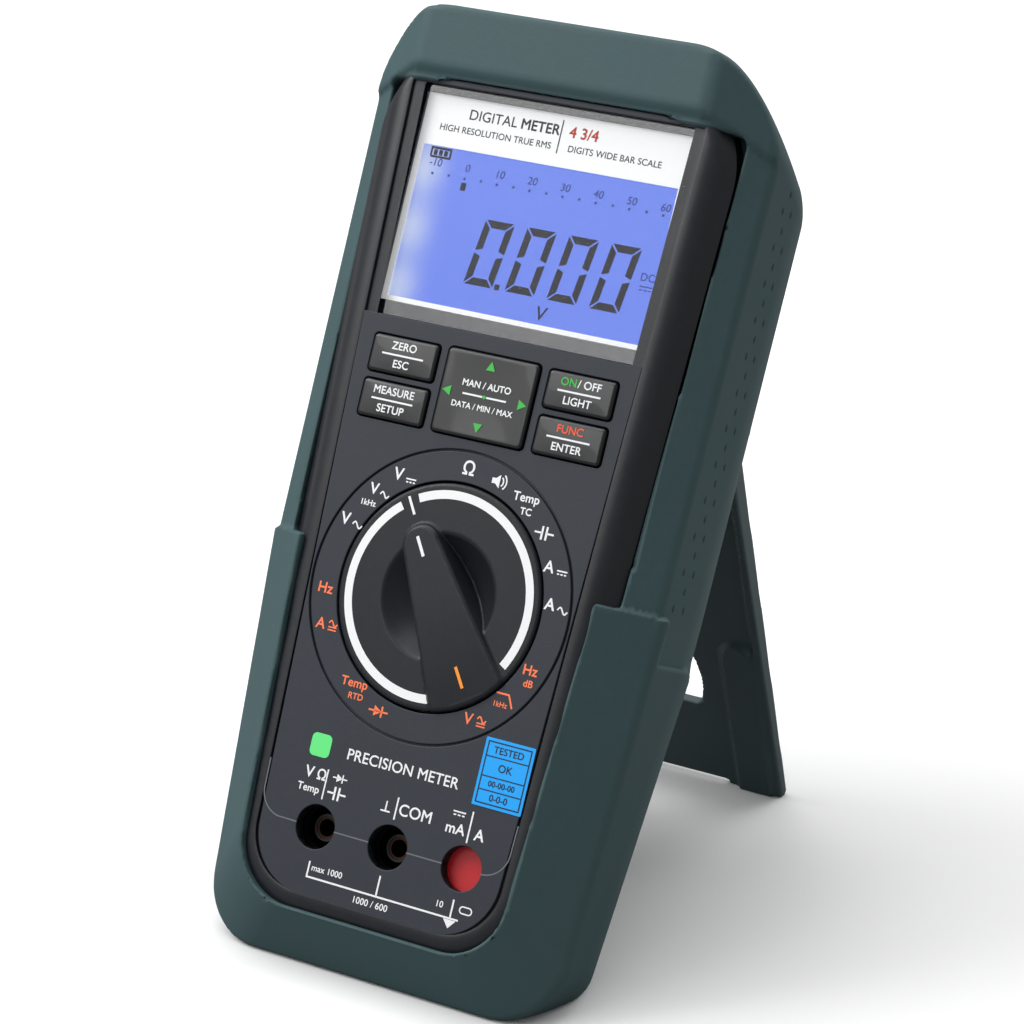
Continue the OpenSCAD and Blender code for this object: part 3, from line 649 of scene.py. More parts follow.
def surface_group():
    """Shared look of moulded parts: fine grain, uneven sheen, and dust on upward faces."""
    name = "moulded surface"
    if name in bpy.data.node_groups:
        return bpy.data.node_groups[name]
    tree, inp, out = new_group(name, [
        ("Colour", "NodeSocketColor", (0.1, 0.1, 0.1, 1)),
        ("Roughness", "NodeSocketFloat", 0.5),
        ("Grain", "NodeSocketFloat", 0.3),
        ("Fineness", "NodeSocketFloat", 1800.0),
        ("Unevenness", "NodeSocketFloat", 0.2),
        ("Dust", "NodeSocketFloat", 0.05)],
        [("Colour", "NodeSocketColor"), ("Roughness", "NodeSocketFloat"), ("Height", "NodeSocketFloat")])
    links = tree.links
    coords = tree.nodes.new("ShaderNodeTexCoord").outputs["Object"]
    geo = tree.nodes.new("ShaderNodeNewGeometry")
    grain = tree.nodes.new("ShaderNodeTexNoise")
    grain.inputs["Detail"].default_value = 2.0
    links.new(coords, grain.inputs["Vector"])
    links.new(inp.outputs["Fineness"], grain.inputs["Scale"])
    height = tree.nodes.new("ShaderNodeMath")
    height.operation = "MULTIPLY"
    links.new(grain.outputs["Fac"], height.inputs[0])
    links.new(inp.outputs["Grain"], height.inputs[1])
    links.new(height.outputs[0], out.inputs["Height"])

    patches = noise(tree, coords, 45, 4, 0.6)
    spread = ramp(tree, patches, 0.3, 0.7, -0.5, 0.5)
    sheen = tree.nodes.new("ShaderNodeMath")
    sheen.operation = "MULTIPLY_ADD"
    links.new(spread.outputs[0], sheen.inputs[0])
    links.new(inp.outputs["Unevenness"], sheen.inputs[1])
    links.new(inp.outputs["Roughness"], sheen.inputs[2])

    split = tree.nodes.new("ShaderNodeSeparateXYZ")
    links.new(geo.outputs["Normal"], split.inputs[0])
    up = ramp(tree, split.outputs["Z"], 0.1, 1.0, 0.0, 1.0)
    specks = ramp(tree, noise(tree, coords, 420, 5, 0.75), 0.42, 0.75, 0.0, 1.0)
    settled = tree.nodes.new("ShaderNodeMath")
    settled.operation = "MULTIPLY"
    links.new(up.outputs[0], settled.inputs[0])
    links.new(specks.outputs[0], settled.inputs[1])
    dust = tree.nodes.new("ShaderNodeMath")
    dust.operation = "MULTIPLY"
    links.new(settled.outputs[0], dust.inputs[0])
    links.new(inp.outputs["Dust"], dust.inputs[1])

    tint = tree.nodes.new("ShaderNodeHueSaturation")
    links.new(inp.outputs["Colour"], tint.inputs["Color"])
    shade = ramp(tree, patches, 0.25, 0.75, 0.94, 1.06)
    links.new(shade.outputs[0], tint.inputs["Value"])
    mix = tree.nodes.new("ShaderNodeMix")
    mix.data_type = "RGBA"
    mix.inputs[7].default_value = (0.42, 0.42, 0.4, 1)
    links.new(dust.outputs[0], mix.inputs[0])
    links.new(tint.outputs["Color"], mix.inputs[6])
    links.new(mix.outputs[2], out.inputs["Colour"])
    rough = tree.nodes.new("ShaderNodeMath")
    rough.operation = "ADD"
    rough.use_clamp = True
    links.new(sheen.outputs[0], rough.inputs[0])
    links.new(dust.outputs[0], rough.inputs[1])
    links.new(rough.outputs[0], out.inputs["Roughness"])
    return tree


def moulded(name, colour, roughness=0.5, grain=0.3, fineness=1800.0, uneven=0.15, dust=0.05,
            metallic=0.0, bump=0.00004, coat=0.0, specular=0.5):
    """A material built on the shared moulded surface."""
    if name in bpy.data.materials:
        return bpy.data.materials[name]
    mat = bpy.data.materials.new(name)
    mat.use_nodes = True
    tree = mat.node_tree
    shader = tree.nodes["Principled BSDF"]
    group = tree.nodes.new("ShaderNodeGroup")
    group.node_tree = surface_group()
    for key, value in (("Colour", colour + (1,)), ("Roughness", roughness), ("Grain", grain),
                       ("Fineness", fineness), ("Unevenness", uneven), ("Dust", dust)):
        group.inputs[key].default_value = value
    bumps = tree.nodes.new("ShaderNodeBump")
    bumps.inputs["Distance"].default_value = bump
    tree.links.new(group.outputs["Height"], bumps.inputs["Height"])
    tree.links.new(bumps.outputs["Normal"], shader.inputs["Normal"])
    tree.links.new(group.outputs["Colour"], shader.inputs["Base Color"])
    tree.links.new(group.outputs["Roughness"], shader.inputs["Roughness"])
    shader.inputs["Metallic"].default_value = metallic
    shader.inputs["Coat Weight"].default_value = coat
    shader.inputs["Specular IOR Level"].default_value = specular
    mat.diffuse_color = colour + (1,)
    return mat


def plain(name, colour, roughness=0.5, painted_glow=0.0, metallic=0.0, alpha=1.0):
    """Ink, foil and other thin layers; a faint emission gives some of them a painted glow, so they look
    brighter than the lamps alone would make them.
    """
    if name in bpy.data.materials:
        return bpy.data.materials[name]
    mat = bpy.data.materials.new(name)
    mat.use_nodes = True
    tree = mat.node_tree
    shader = tree.nodes["Principled BSDF"]
    coords = tree.nodes.new("ShaderNodeTexCoord").outputs["Object"]
    worn = ramp(tree, noise(tree, coords, 900, 4, 0.7), 0.2, 0.8, roughness * 0.85, roughness * 1.15)
    tree.links.new(worn.outputs[0], shader.inputs["Roughness"])
    shader.inputs["Base Color"].default_value = colour + (1,)
    shader.inputs["Metallic"].default_value = metallic
    shader.inputs["Alpha"].default_value = alpha
    # Painted glow: the layer lights itself a little, though it is no lamp.
    if painted_glow:
        shader.inputs["Emission Color"].default_value = colour + (1,)
        shader.inputs["Emission Strength"].default_value = painted_glow
    mat.diffuse_color = colour + (alpha,)
    return mat


def backlit(name, colour, strength, origin, across):
    """The display's glow: even blue, paler where the lamps stand along its left side."""
    if name in bpy.data.materials:
        return bpy.data.materials[name]
    mat = bpy.data.materials.new(name)
    mat.use_nodes = True
    tree = mat.node_tree
    shader = tree.nodes["Principled BSDF"]
    coords = tree.nodes.new("ShaderNodeTexCoord").outputs["Object"]
    split = tree.nodes.new("ShaderNodeSeparateXYZ")
    tree.links.new(coords, split.inputs[0])
    glow = ramp(tree, split.outputs["X"], origin, origin + across, 1.0, 0.0)
    glow.interpolation_type = "SMOOTHERSTEP"
    bands = tree.nodes.new("ShaderNodeTexWave")
    bands.bands_direction = "Z"
    bands.inputs["Scale"].default_value = 26.0
    bands.inputs["Distortion"].default_value = 0.0
    tree.links.new(coords, bands.inputs["Vector"])
    lamps = ramp(tree, bands.outputs["Fac"], 0.0, 1.0, 0.55, 1.0)
    both = tree.nodes.new("ShaderNodeMath")
    both.operation = "MULTIPLY"
    tree.links.new(glow.outputs[0], both.inputs[0])
    tree.links.new(lamps.outputs[0], both.inputs[1])
    mix = tree.nodes.new("ShaderNodeMix")
    mix.data_type = "RGBA"
    mix.inputs[6].default_value = colour + (1,)
    mix.inputs[7].default_value = srgb(206, 220, 255) + (1,)
    tree.links.new(both.outputs[0], mix.inputs[0])
    tree.links.new(mix.outputs[2], shader.inputs["Emission Color"])
    shader.inputs["Emission Strength"].default_value = strength
    shader.inputs["Base Color"].default_value = tuple(c * 0.08 for c in colour) + (1,)
    shader.inputs["Roughness"].default_value = 0.3
    mat.diffuse_color = colour + (1,)
    return mat


def glassy(name, tint, alpha):
    """The window: nearly clear, with a polished face."""
    mat = bpy.data.materials.new(name)
    mat.use_nodes = True
    shader = mat.node_tree.nodes["Principled BSDF"]
    shader.inputs["Base Color"].default_value = tint + (1,)
    shader.inputs["Roughness"].default_value = 0.04
    shader.inputs["Alpha"].default_value = alpha
    shader.inputs["IOR"].default_value = 1.3
    shader.inputs["Specular IOR Level"].default_value = 0.3
    mat.diffuse_color = tint + (alpha,)
    return mat


# ------------------------------------------------------------------ settings


class CaseSettings(PropertyGroup):
    width: FloatProperty(name="Case width", description="Width of the case at its top end",
                         default=0.0886, min=0.086, max=0.092, unit="LENGTH")
    border: FloatProperty(name="Border", description="Width of the sloped border round the panel",
                          default=0.0070, min=0.006, max=0.008, unit="LENGTH")
    colour: FloatVectorProperty(name="Panel colour", description="Colour of the panel's plastic",
                                subtype="COLOR", size=3, default=srgb(48, 52, 60), min=0, max=1)


class BootSettings(PropertyGroup):
    half_width: FloatProperty(name="Half width", description="Half width of the boot at the hood",
                              default=0.0513, min=0.050, max=0.0515, unit="LENGTH")
    hood_top: FloatProperty(name="Hood top", description="Highest point of the hood along the case",
                            default=0.130, min=0.128, max=0.1305, unit="LENGTH")
    hood_lip: FloatProperty(name="Hood lip", description="Lower edge of the hood's front face",
                            default=0.1157, min=0.114, max=0.118, unit="LENGTH")
    cradle_top: FloatProperty(name="Cradle top", description="Where the raised cradle begins",
                              default=0.007, min=0.004, max=0.010, unit="LENGTH")
    rail_drop: FloatProperty(name="Rail drop", description="How far the rails lie under the hood",
                             default=0.0013, min=0.0005, max=0.002, unit="LENGTH")
    edge: FloatProperty(name="Edge radius", description="Rounding of the boot's outer edges",
                        default=0.0012, min=0.0005, max=0.004, unit="LENGTH")
    mesh_step: FloatProperty(name="Mesh step", description="Spacing of the boot's surface mesh",
                             default=0.00105, min=0.0008, max=0.004, unit="LENGTH")
    colour: FloatVectorProperty(name="Rubber colour", description="Colour of the boot",
                                subtype="COLOR", size=3, default=srgb(58, 82, 85), min=0, max=1)


class StandSettings(PropertyGroup):
    length: FloatProperty(name="Length", description="From the hinge to the foot",
                          default=0.1136, min=0.110, max=0.116, unit="LENGTH")
    half_width: FloatProperty(name="Half width", description="Half width of the stand",
                              default=0.0394, min=0.038, max=0.0396, unit="LENGTH")
    plate: FloatProperty(name="Plate", description="Thickness of the stand's plate",
                         default=0.0026, min=0.002, max=0.0035, unit="LENGTH")


class DisplaySettings(PropertyGroup):
    brightness: FloatProperty(name="Backlight", description="Brightness of the display's backlight",
                              default=0.8, min=0.0, max=4.0)
    digit_height: FloatProperty(name="Digit height", description="Height of the reading's digits",
                                default=0.0150, min=0.010, max=0.018, unit="LENGTH")
    digit_slant: FloatProperty(name="Digit slant", description="How far the digits lean",
                               default=math.radians(8), min=0, max=0.4, subtype="ANGLE")


class KnobSettings(PropertyGroup):
    radius: FloatProperty(name="Radius", description="Outer radius of the selector",
                          default=0.0254, min=0.024, max=0.0254, unit="LENGTH")
    dish_radius: FloatProperty(name="Dish radius", description="Radius of the dished middle",
                               default=0.0182, min=0.015, max=0.020, unit="LENGTH")
    grip_tip: FloatProperty(name="Grip tip", description="Half width of the grip at its pointer end",
                            default=0.0046, min=0.003, max=0.006, unit="LENGTH")
    position: IntProperty(name="Position", description="Switch position, counted from the top",
                          default=2, min=-5, max=4)


class StageSettings(PropertyGroup):
    lens: FloatProperty(name="Lens", description="Focal length of the camera, in millimetres",
                        default=129.0, min=50, max=200)
    key_power: FloatProperty(name="Key light", description="Power of the main soft light, in watts",
                             default=9.0, min=0, max=200)
    floor_colour: FloatVectorProperty(name="Floor", description="Colour of the floor",
                                      subtype="COLOR", size=3, default=(0.86, 0.86, 0.86), min=0, max=1)


class MeterSettings(PropertyGroup):
    case: PointerProperty(type=CaseSettings)
    boot: PointerProperty(type=BootSettings)
    stand: PointerProperty(type=StandSettings)
    display: PointerProperty(type=DisplaySettings)
    knob: PointerProperty(type=KnobSettings)
    stage: PointerProperty(type=StageSettings)


# ------------------------------------------------------------------ boot and stand


def rubber():
    return moulded("boot rubber", tuple(settings().boot.colour), 0.62, grain=0.5, fineness=1500,
                   uneven=0.10, dust=0.06, bump=0.00006, specular=0.35)


def dimple_tree():
    """Geometry nodes: a shallow oval dimple at each point, turned to face sideways, in the material it is
    given; the boot gives it a darker rubber as painted shade.
    """
    tree = bpy.data.node_groups.new("side dimples", "GeometryNodeTree")
    io = tree.interface
    io.new_socket("Geometry", in_out="INPUT", socket_type="NodeSocketGeometry")
    radius = io.new_socket("Radius", in_out="INPUT", socket_type="NodeSocketFloat")
    radius.default_value = 0.0006
    io.new_socket("Material", in_out="INPUT", socket_type="NodeSocketMaterial")
    io.new_socket("Geometry", in_out="OUTPUT", socket_type="NodeSocketGeometry")
    nodes, links = tree.nodes, tree.links
    inp, out = nodes.new("NodeGroupInput"), nodes.new("NodeGroupOutput")
    dot = nodes.new("GeometryNodeMeshUVSphere")
    dot.inputs["Segments"].default_value = 12
    dot.inputs["Rings"].default_value = 8
    links.new(inp.outputs["Radius"], dot.inputs["Radius"])
    flat = nodes.new("GeometryNodeTransform")
    flat.inputs["Scale"].default_value = (0.18, 0.8, 1.35)
    flat.inputs["Rotation"].default_value = (-LEAN, 0, 0)
    links.new(dot.outputs["Mesh"], flat.inputs["Geometry"])
    spread = nodes.new("GeometryNodeInstanceOnPoints")
    links.new(inp.outputs["Geometry"], spread.inputs["Points"])
    links.new(flat.outputs["Geometry"], spread.inputs["Instance"])
    real = nodes.new("GeometryNodeRealizeInstances")
    links.new(spread.outputs["Instances"], real.inputs["Geometry"])
    paint = nodes.new("GeometryNodeSetMaterial")
    links.new(real.outputs["Geometry"], paint.inputs["Geometry"])
    links.new(inp.outputs["Material"], paint.inputs["Material"])
    links.new(paint.outputs["Geometry"], out.inputs["Geometry"])
    return tree


def grown(name, points, tree, values, body):
    """Runs a geometry-nodes tree over some points and keeps its result as a plain mesh."""
    seed = bpy.data.meshes.new(name + " points")
    seed.from_pydata(points, [], [])
    holder = bpy.data.objects.new(name + " points", seed)
    bpy.context.scene.collection.objects.link(holder)
    mod = holder.modifiers.new("grow", "NODES")
    mod.node_group = tree
    for item in tree.interface.items_tree:
        if item.in_out == "INPUT" and item.name in values:
            mod[item.identifier] = values[item.name]
    bpy.context.view_layer.update()
    mesh = bpy.data.meshes.new_from_object(
        holder.evaluated_get(bpy.context.evaluated_depsgraph_get()))
    bpy.data.objects.remove(holder)
    mesh.name = name
    obj = bpy.data.objects.new(name, mesh)
    bpy.context.scene.collection.objects.link(obj)
    mesh.polygons.foreach_set("use_smooth", [True] * len(mesh.polygons))
    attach(obj, body)
    return obj


def side_at(y, z):
    """Where the boot's side lies at a height along the case."""
    lo, hi = 40.0, 53.0
    for _ in range(30):
        mid = (lo + hi) / 2
        if boot_field(np.array([mid]), np.array([float(y)]), np.array([float(z)]))[0] < 0:
            lo = mid
        else:
            hi = mid
    return lo


class METER_OT_boot(Operator):
    """Builds the rubber boot with its side dimples"""
    bl_idname = "booted_meter.boot"
    bl_label = "Boot"

    def execute(self, context):
        step = settings().boot.mesh_step / MM * 1
        boot = place_net("boot_shell", boot_field, (-53, -90, -50), (53, 132, 4), step,
                         "case", rubber())
        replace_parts(boot, "boot")
        points = []
        for side in (-1, 1):
            for column, (z_high, z_low) in enumerate(((-18.5, -13.8), (-20.5, -17.0), (-23.0, -19.0))):
                for i in range(12):
                    y = 9.6 + 8.2 * i + (4.1 if column == 1 else 0)
                    z = z_low + (z_high - z_low) * min(1.0, (y - 9.6) / 50)
                    x = side_at(y, z) - 0.02
                    points.append(tuple(PANEL @ Vector((side * x, y, z))))
        # Painted shade: the dimples' rubber is darker than the boot's, standing in for the shadow inside each
        # small recess.
        shade = moulded("dimple shade", srgb(34, 56, 58), 0.75, grain=0.2)
        grown("boot_dimples", points, dimple_tree(), {"Radius": 0.0007, "Material": shade},
              "case")
        return {"FINISHED"}


class METER_OT_stand(Operator):
    """Builds the fold-out tilt stand"""
    bl_idname = "booted_meter.stand"
    bl_label = "Tilt stand"

    def execute(self, context):
        mat = moulded("stand plastic", srgb(62, 79, 83), 0.5, grain=0.4, fineness=1400, uneven=0.12)
        step = 0.85
        leg = place_net("stand_leg", stand_field, (-42, -36, -124), (42, 58, -40), step,
                        "stand", mat)
        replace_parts(leg, "tilt_stand")
        return {"FINISHED"}


# ------------------------------------------------------------------ panel and display


def panel_plastic():
    return moulded("panel plastic", tuple(settings().case.colour), 0.5, grain=0.45, fineness=2600,
                   uneven=0.10, dust=0.02, bump=0.00005, specular=0.3)


def border_plastic():
    return moulded("border plastic", srgb(17, 20, 27), 0.42, grain=0.35, fineness=2400,
                   uneven=0.10, dust=0.03, bump=0.00004)


def groove_half(y):
    """Half width of the flat panel, out to the groove beside it."""
    return 33.77 + 0.0333 * y


def panel_outline(y_top):
    y0 = -71.6
    return (arc(groove_half(y0) - 14, y0 + 14, 14, -90, 0, 14)
            + [(groove_half(y_top), y_top), (-groove_half(y_top), y_top)]
            + arc(14 - groove_half(y0), y0 + 14, 14, 180, 270, 14))


class METER_OT_front_panel(Operator):
    """Builds the flat panel with its cut-outs and the sloped border round it"""
    bl_idname = "booted_meter.front_panel"
    bl_label = "Front panel"

    def execute(self, context):
        gap = 0.35
        holes = [circle(0, 0, 25.9, 128)]
        holes += [round_box(sx * KEY_X, y, 17 + 2 * gap, 8.4 + 2 * gap, 1.1)
                  for sx in (-1, 1) for y in KEY_ROWS]
        holes.append(round_box(0, PAD_Y, 23.4 + 2 * gap, 19.1 + 2 * gap, 1.3))
        holes += [circle(-17 + 19.05 * i, SOCKET_Y, 5.0, 64) for i in range(3)]
        ring = 32.8
        low = filled([panel_outline(58.8), circle(0, 0, ring + 0.28, 160)] + holes[1:], -2.4, 0, 0.18)
        disc = filled([circle(0, 0, ring - 0.28, 160), holes[0]], -2.4, 0, 0.18)
        floor = filled([circle(0, 0, ring + 0.6, 96), circle(0, 0, ring - 0.6, 96)], -2.3, -0.75)
        top = filled([[(groove_half(115.2), 115.2), (-groove_half(115.2), 115.2),
                       (-groove_half(112.2), 112.2), (groove_half(112.2), 112.2)][::-1]], -2.4, 0, 0.18)
        face = place("panel_face", joined("panel_face", [low, disc, floor, top]), "case",
                     panel_plastic(), sharp=30)
        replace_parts(face, "front_shell")

        rings = []
        inset = settings().case.border / MM
        profile = [(inset - 0.1, -0.35), (inset - 0.25, -0.06), (inset - 0.6, 0.0)]
        for i in range(9):
            a = math.radians(90 - 45 * i / 8)
            r = 6.0
            profile.append((inset - 0.9 - r * math.cos(a), -r + r * math.sin(a)))
        end = profile[-1]
        profile += [(end[0] - 0.5 * (7 + end[1]), end[1] - 0.5 * (7 + end[1])), (1.3, -6.6 - 0.6),
                    (0.35, -8.4), (0.0, -10), (0.0, -18.95), (2.5, -18.95), (2.5, -7.0), (9.6, -0.95),
                    (9.6, -0.9), (inset - 0.1, -0.8)]
        for d, z in profile:
            rings.append([(x, y, z) for x, y in case_outline(d)])
        border = place("panel_border", lofted(rings, closed=True), "case", border_plastic(),
                       sharp=40)
        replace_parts(border, "front_shell")
        well = place("knob_well", turned([(25.9, -0.6), (25.9, -8.2), (6.3, -8.2), (6.3, -9.8),
                                          (27.6, -9.8), (27.6, -0.6)], 96), "case", border_plastic(),
                     sharp=40)
        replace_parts(well, "front_shell")
        return {"FINISHED"}


def seven_segment(x, y, h, slant, on):
    """One digit's lit segments, as pointed bars; on names them in the usual a to g order."""
    w, t = h * 0.5, h * 0.115
    g = t * 0.16
    half = h / 2
    bars = {
        "a": [(g, h), (w - g, h), (w - t - g, h - t), (t + g, h - t)],
        "d": [(t + g, t), (w - t - g, t), (w - g, 0), (g, 0)],
        "f": [(0, h - g), (t, h - t - g), (t, half + t * 0.5), (0, half + g)],
        "e": [(0, half - g), (t, half - t * 0.5), (t, t + g), (0, g)],
        "b": [(w, h - g), (w, half + g), (w - t, half + t * 0.5), (w - t, h - t - g)],
        "c": [(w, half - g), (w, g), (w - t, t + g), (w - t, half - t * 0.5)],
        "g": [(g + t * 0.3, half), (t, half + t / 2), (w - t, half + t / 2), (w - g - t * 0.3, half),
              (w - t, half - t / 2), (t, half - t / 2)],
    }
    lean = math.tan(slant)
    return [patch([(x + px + lean * py, y + py) for px, py in bars[k]]) for k in on]


class METER_OT_display(Operator):
    """Builds the window, the printed mask and the lit reading"""
    bl_idname = "booted_meter.display"
    bl_label = "Display"

    def execute(self, context):
        s = settings().display
        pane = place("window_pane", filled([round_box(0, 85.45, 71.8, 52.6, 0.9)], -2.15, -0.55, 0.15),
                     "case", glassy("window clear", srgb(20, 26, 40), 0.06), sharp=40)
        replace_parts(pane, "display_window")
        gloss = moulded("window black", srgb(9, 13, 24), 0.12, grain=0.0, uneven=0.04, dust=0.02,
                        coat=0.4)
        surround = place("window_surround",
                         filled([round_box(0, 85.45, 72.0, 52.9, 0.5), round_box(0, 86.35, 68.1, 48.1, 0.3)],
                                -3.05, -2.25, 0.05), "case", gloss, sharp=40)
        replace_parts(surround, "front_shell")
        # The white mask has a painted glow that makes it brighter than its lighting.
        card = plain("mask white", srgb(238, 240, 241), 0.4, painted_glow=0.35)
        mask = place("mask_card", filled([round_box(0, 86.4, 69.8, 49.6, 0.3),
                                          round_box(0, 81.1, 65.3, 35.2, 0.15)], -3.6, -3.1),
                     "case", card, sharp=None)
        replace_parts(mask, "display_mask")
        title = [words("DIGITAL", 3.3, -16.4, 106.7, weight=0.02),
                 words("METER", 3.3, -4.2, 106.7, weight=0.08),
                 words("HIGH RESOLUTION TRUE RMS", 2.1, -15.0, 103.0, weight=0.02),
                 words("DIGITS WIDE BAR SCALE", 2.1, 15.6, 103.0, weight=0.02),
                 strip([(1.2, 101.6), (1.2, 109.2)], 0.3)]
        side = [words("4 3/4", 3.5, 7.0, 106.7, weight=0.08)]
        grey = plain("title grey", srgb(52, 54, 58), 0.5)
        red = plain("title red", srgb(206, 60, 40), 0.5)
        print_marks("mask_title", "case", grey, title, -3.1)
        print_marks("mask_title_red", "case", red, side, -3.1)
        blue = backlit("lcd glow", srgb(106, 138, 255), s.brightness, -0.0335, 0.012)
        glass = place("lcd_glass", filled([round_box(0, 81.6, 67.6, 39.4, 0.2)], -5.9, -3.7, 0.1),
                      "case", blue, sharp=40)
        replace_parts(glass, "lcd_panel")

        h, slant = s.digit_height / MM, s.digit_slant
        dark, faint = [], []
        for i in range(4):
            dark += seven_segment(-14.6 + 10.76 * i, 69.4, h, slant, "abcdef")
        dark.append(patch(round_box(-5.9, 69.9, 1.3, 1.3, 0.2, 2)))
        dark.append(words("V", 4.4, 6.3, 65.9, weight=0.05, shear=0.12))
        dark.append(strip([(-20.3, 89.7), (-20.3, 91.5)], 1.3))
        for i in range(8):
            x = -28.7 + 8.46 * i
            faint.append(words(str(10 * i - 10), 2.5, x, 94.9 - 0.12 * i, weight=0.03, shear=0.1))
            faint.append(patch(round_box(x - 0.2, 92.4, 0.6, 0.6, 0.1, 2)))
            if i < 7:
                faint.append(patch(round_box(x + 4.1, 92.5, 0.6, 0.6, 0.1, 2)))
        dark += [strip([(-30.4, 96.2), (-25.4, 96.2), (-25.4, 98.2), (-30.4, 98.2), (-30.4, 96.2)], 0.5)]
        dark += [patch(round_box(-29.3 + 1.35 * i, 97.2, 0.95, 1.3, 0.1, 2)) for i in range(3)]
        faint += [words("DC", 2.5, 30.2, 78.3, weight=0.03)]
        faint += [strip([(28.6, 76.3), (31.9, 76.3)], 0.3)]
        faint += [strip([(28.7 + 1.15 * i, 75.5), (29.5 + 1.15 * i, 75.5)], 0.3) for i in range(3)]
        ink = plain("lcd dark", srgb(10, 14, 30), 0.4)
        weak = plain("lcd faint", srgb(40, 62, 150), 0.4)
        print_marks("lcd_reading", "case", ink, dark, -3.7)
        print_marks("lcd_scale", "case", weak, faint, -3.7)
        return {"FINISHED"}


# ------------------------------------------------------------------ keys


def key_plastic():
    return moulded("key plastic", srgb(9, 11, 15), 0.33, grain=0.12, fineness=2600, uneven=0.06,
                   dust=0.02, bump=0.00002, coat=0.15)


def key_ink():
    return plain("key white", srgb(238, 240, 242), 0.5)


def build_key(node, body, sx, y, upper, lower, upper_ink, ink_name):
    """One small key with a word over a line over a word."""
    field = cap_field(8.5, 4.2, 0.75, -3.9, 1.0, 0.12)
    step = 0.36
    cap = place_net(node + "_cap", field, (-9.4, -5.1, -4.6), (9.4, 5.1, 1.7), step, body,
                    key_plastic(), offset=(sx * KEY_X, y, 0))
    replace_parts(cap, node)
    stem = turned([(0.01, -9.6), (2.4, -9.6), (2.4, -3.8), (0.01, -3.8)], 24, closed=False)
    stem.transform(Matrix.Translation((sx * KEY_X, y, 0)))
    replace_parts(place(node + "_stem", stem, body, key_plastic()), node)
    cx = sx * KEY_X
    white = [strip([(cx - 5.4, y + 0.1), (cx + 5.4, y + 0.1)], 0.42),
             words(lower, 2.5, cx, y - 1.95, weight=0.045)]
    if upper_ink is None:
        white.append(words(upper, 2.5, cx, y + 2.1, weight=0.045))
    print_marks(node + "_legend", body, key_ink(), white, 0.87)
    if upper_ink is not None:
        parts = [words(t, 2.5, cx + dx, y + 2.1, weight=0.045) for t, dx in upper]
        print_marks(node + ink_name, body, upper_ink, parts, 0.87)


class METER_OT_keys(Operator):
    """Builds the four small keys"""
    bl_idname = "booted_meter.keys"
    bl_label = "Keys"

    def execute(self, context):
        # The green and orange key inks carry a faint painted glow.
        green = plain("key green", srgb(52, 176, 60), 0.5, painted_glow=0.1)
        orange = plain("key orange", srgb(232, 84, 40), 0.5, painted_glow=0.1)
        build_key("key_zero", "zero_key", -1, KEY_ROWS[0], "ZERO", "ESC", None, "")
        build_key("key_measure", "measure_key", -1, KEY_ROWS[1], "MEASURE", "SETUP", None, "")
        build_key("key_power", "power_key", 1, KEY_ROWS[0], [("ON", -3.0)], "LIGHT", green, "_green")
        build_key("key_function", "function_key", 1, KEY_ROWS[1], [("FUNC", 0)], "ENTER", orange,
                  "_orange")
        extra = [words("/ OFF", 2.5, KEY_X + 2.2, KEY_ROWS[0] + 2.1, weight=0.045)]
        print_marks("key_power_off_word", "power_key", key_ink(), extra, 0.87)
        return {"FINISHED"}


class METER_OT_cursor_pad(Operator):
    """Builds the four-way cursor pad"""
    bl_idname = "booted_meter.cursor_pad"
    bl_label = "Cursor pad"

    def execute(self, context):
        field = cap_field(11.7, 9.55, 0.85, -3.0, 1.2, -0.1)
        step = 0.42
        pad = place_net("cursor_pad_cap", field, (-12.7, -10.5, -3.8), (12.7, 10.5, 1.7), step, "pad",
                        key_plastic(), offset=(0, PAD_Y, 0))
        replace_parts(pad, "cursor_pad")
        posts = []
        for x, y in ((-10.2, 0), (10.2, 0), (0, -7.2), (0, 7.2)):
            post = turned([(0.01, -9.6), (1.1, -9.6), (1.1, -2.9), (0.01, -2.9)], 16, closed=False)
            posts.append(at(post, x, PAD_Y + y))
        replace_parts(place("cursor_pad_posts", joined("posts", posts), "pad", key_plastic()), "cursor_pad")
        z = 0.88
        white = [words("MAN / AUTO", 2.1, 0, PAD_Y + 2.4, weight=0.055),
                 words("DATA / MIN / MAX", 1.85, 0, PAD_Y - 2.6, weight=0.05),
                 strip([(-5.6, PAD_Y), (-0.5, PAD_Y)], 0.42), strip([(0.5, PAD_Y), (5.6, PAD_Y)], 0.42)]
        print_marks("cursor_pad_words", "pad", key_ink(), white, z)
        # The arrows' green ink carries a faint painted glow.
        green = plain("key green", srgb(52, 176, 60), 0.5, painted_glow=0.1)
        arrows = [patch(circle(0, PAD_Y, 0.42, 12))]
        for turn, (x, y) in ((0, (0, 6.9)), (90, (-9.6, 0)), (180, (0, -6.9)), (270, (9.6, 0))):
            arrows.append(at(patch([(-1.15, -0.9), (1.15, -0.9), (0, 1.2)]), x, PAD_Y + y, turn))
        print_marks("cursor_pad_arrows", "pad", green, arrows, z + 0.03)
        return {"FINISHED"}


# ------------------------------------------------------------------ knob


def selector_turn():
    """How far the selector stands from straight up, anticlockwise."""
    return math.radians(settings().knob.position * DETENT)


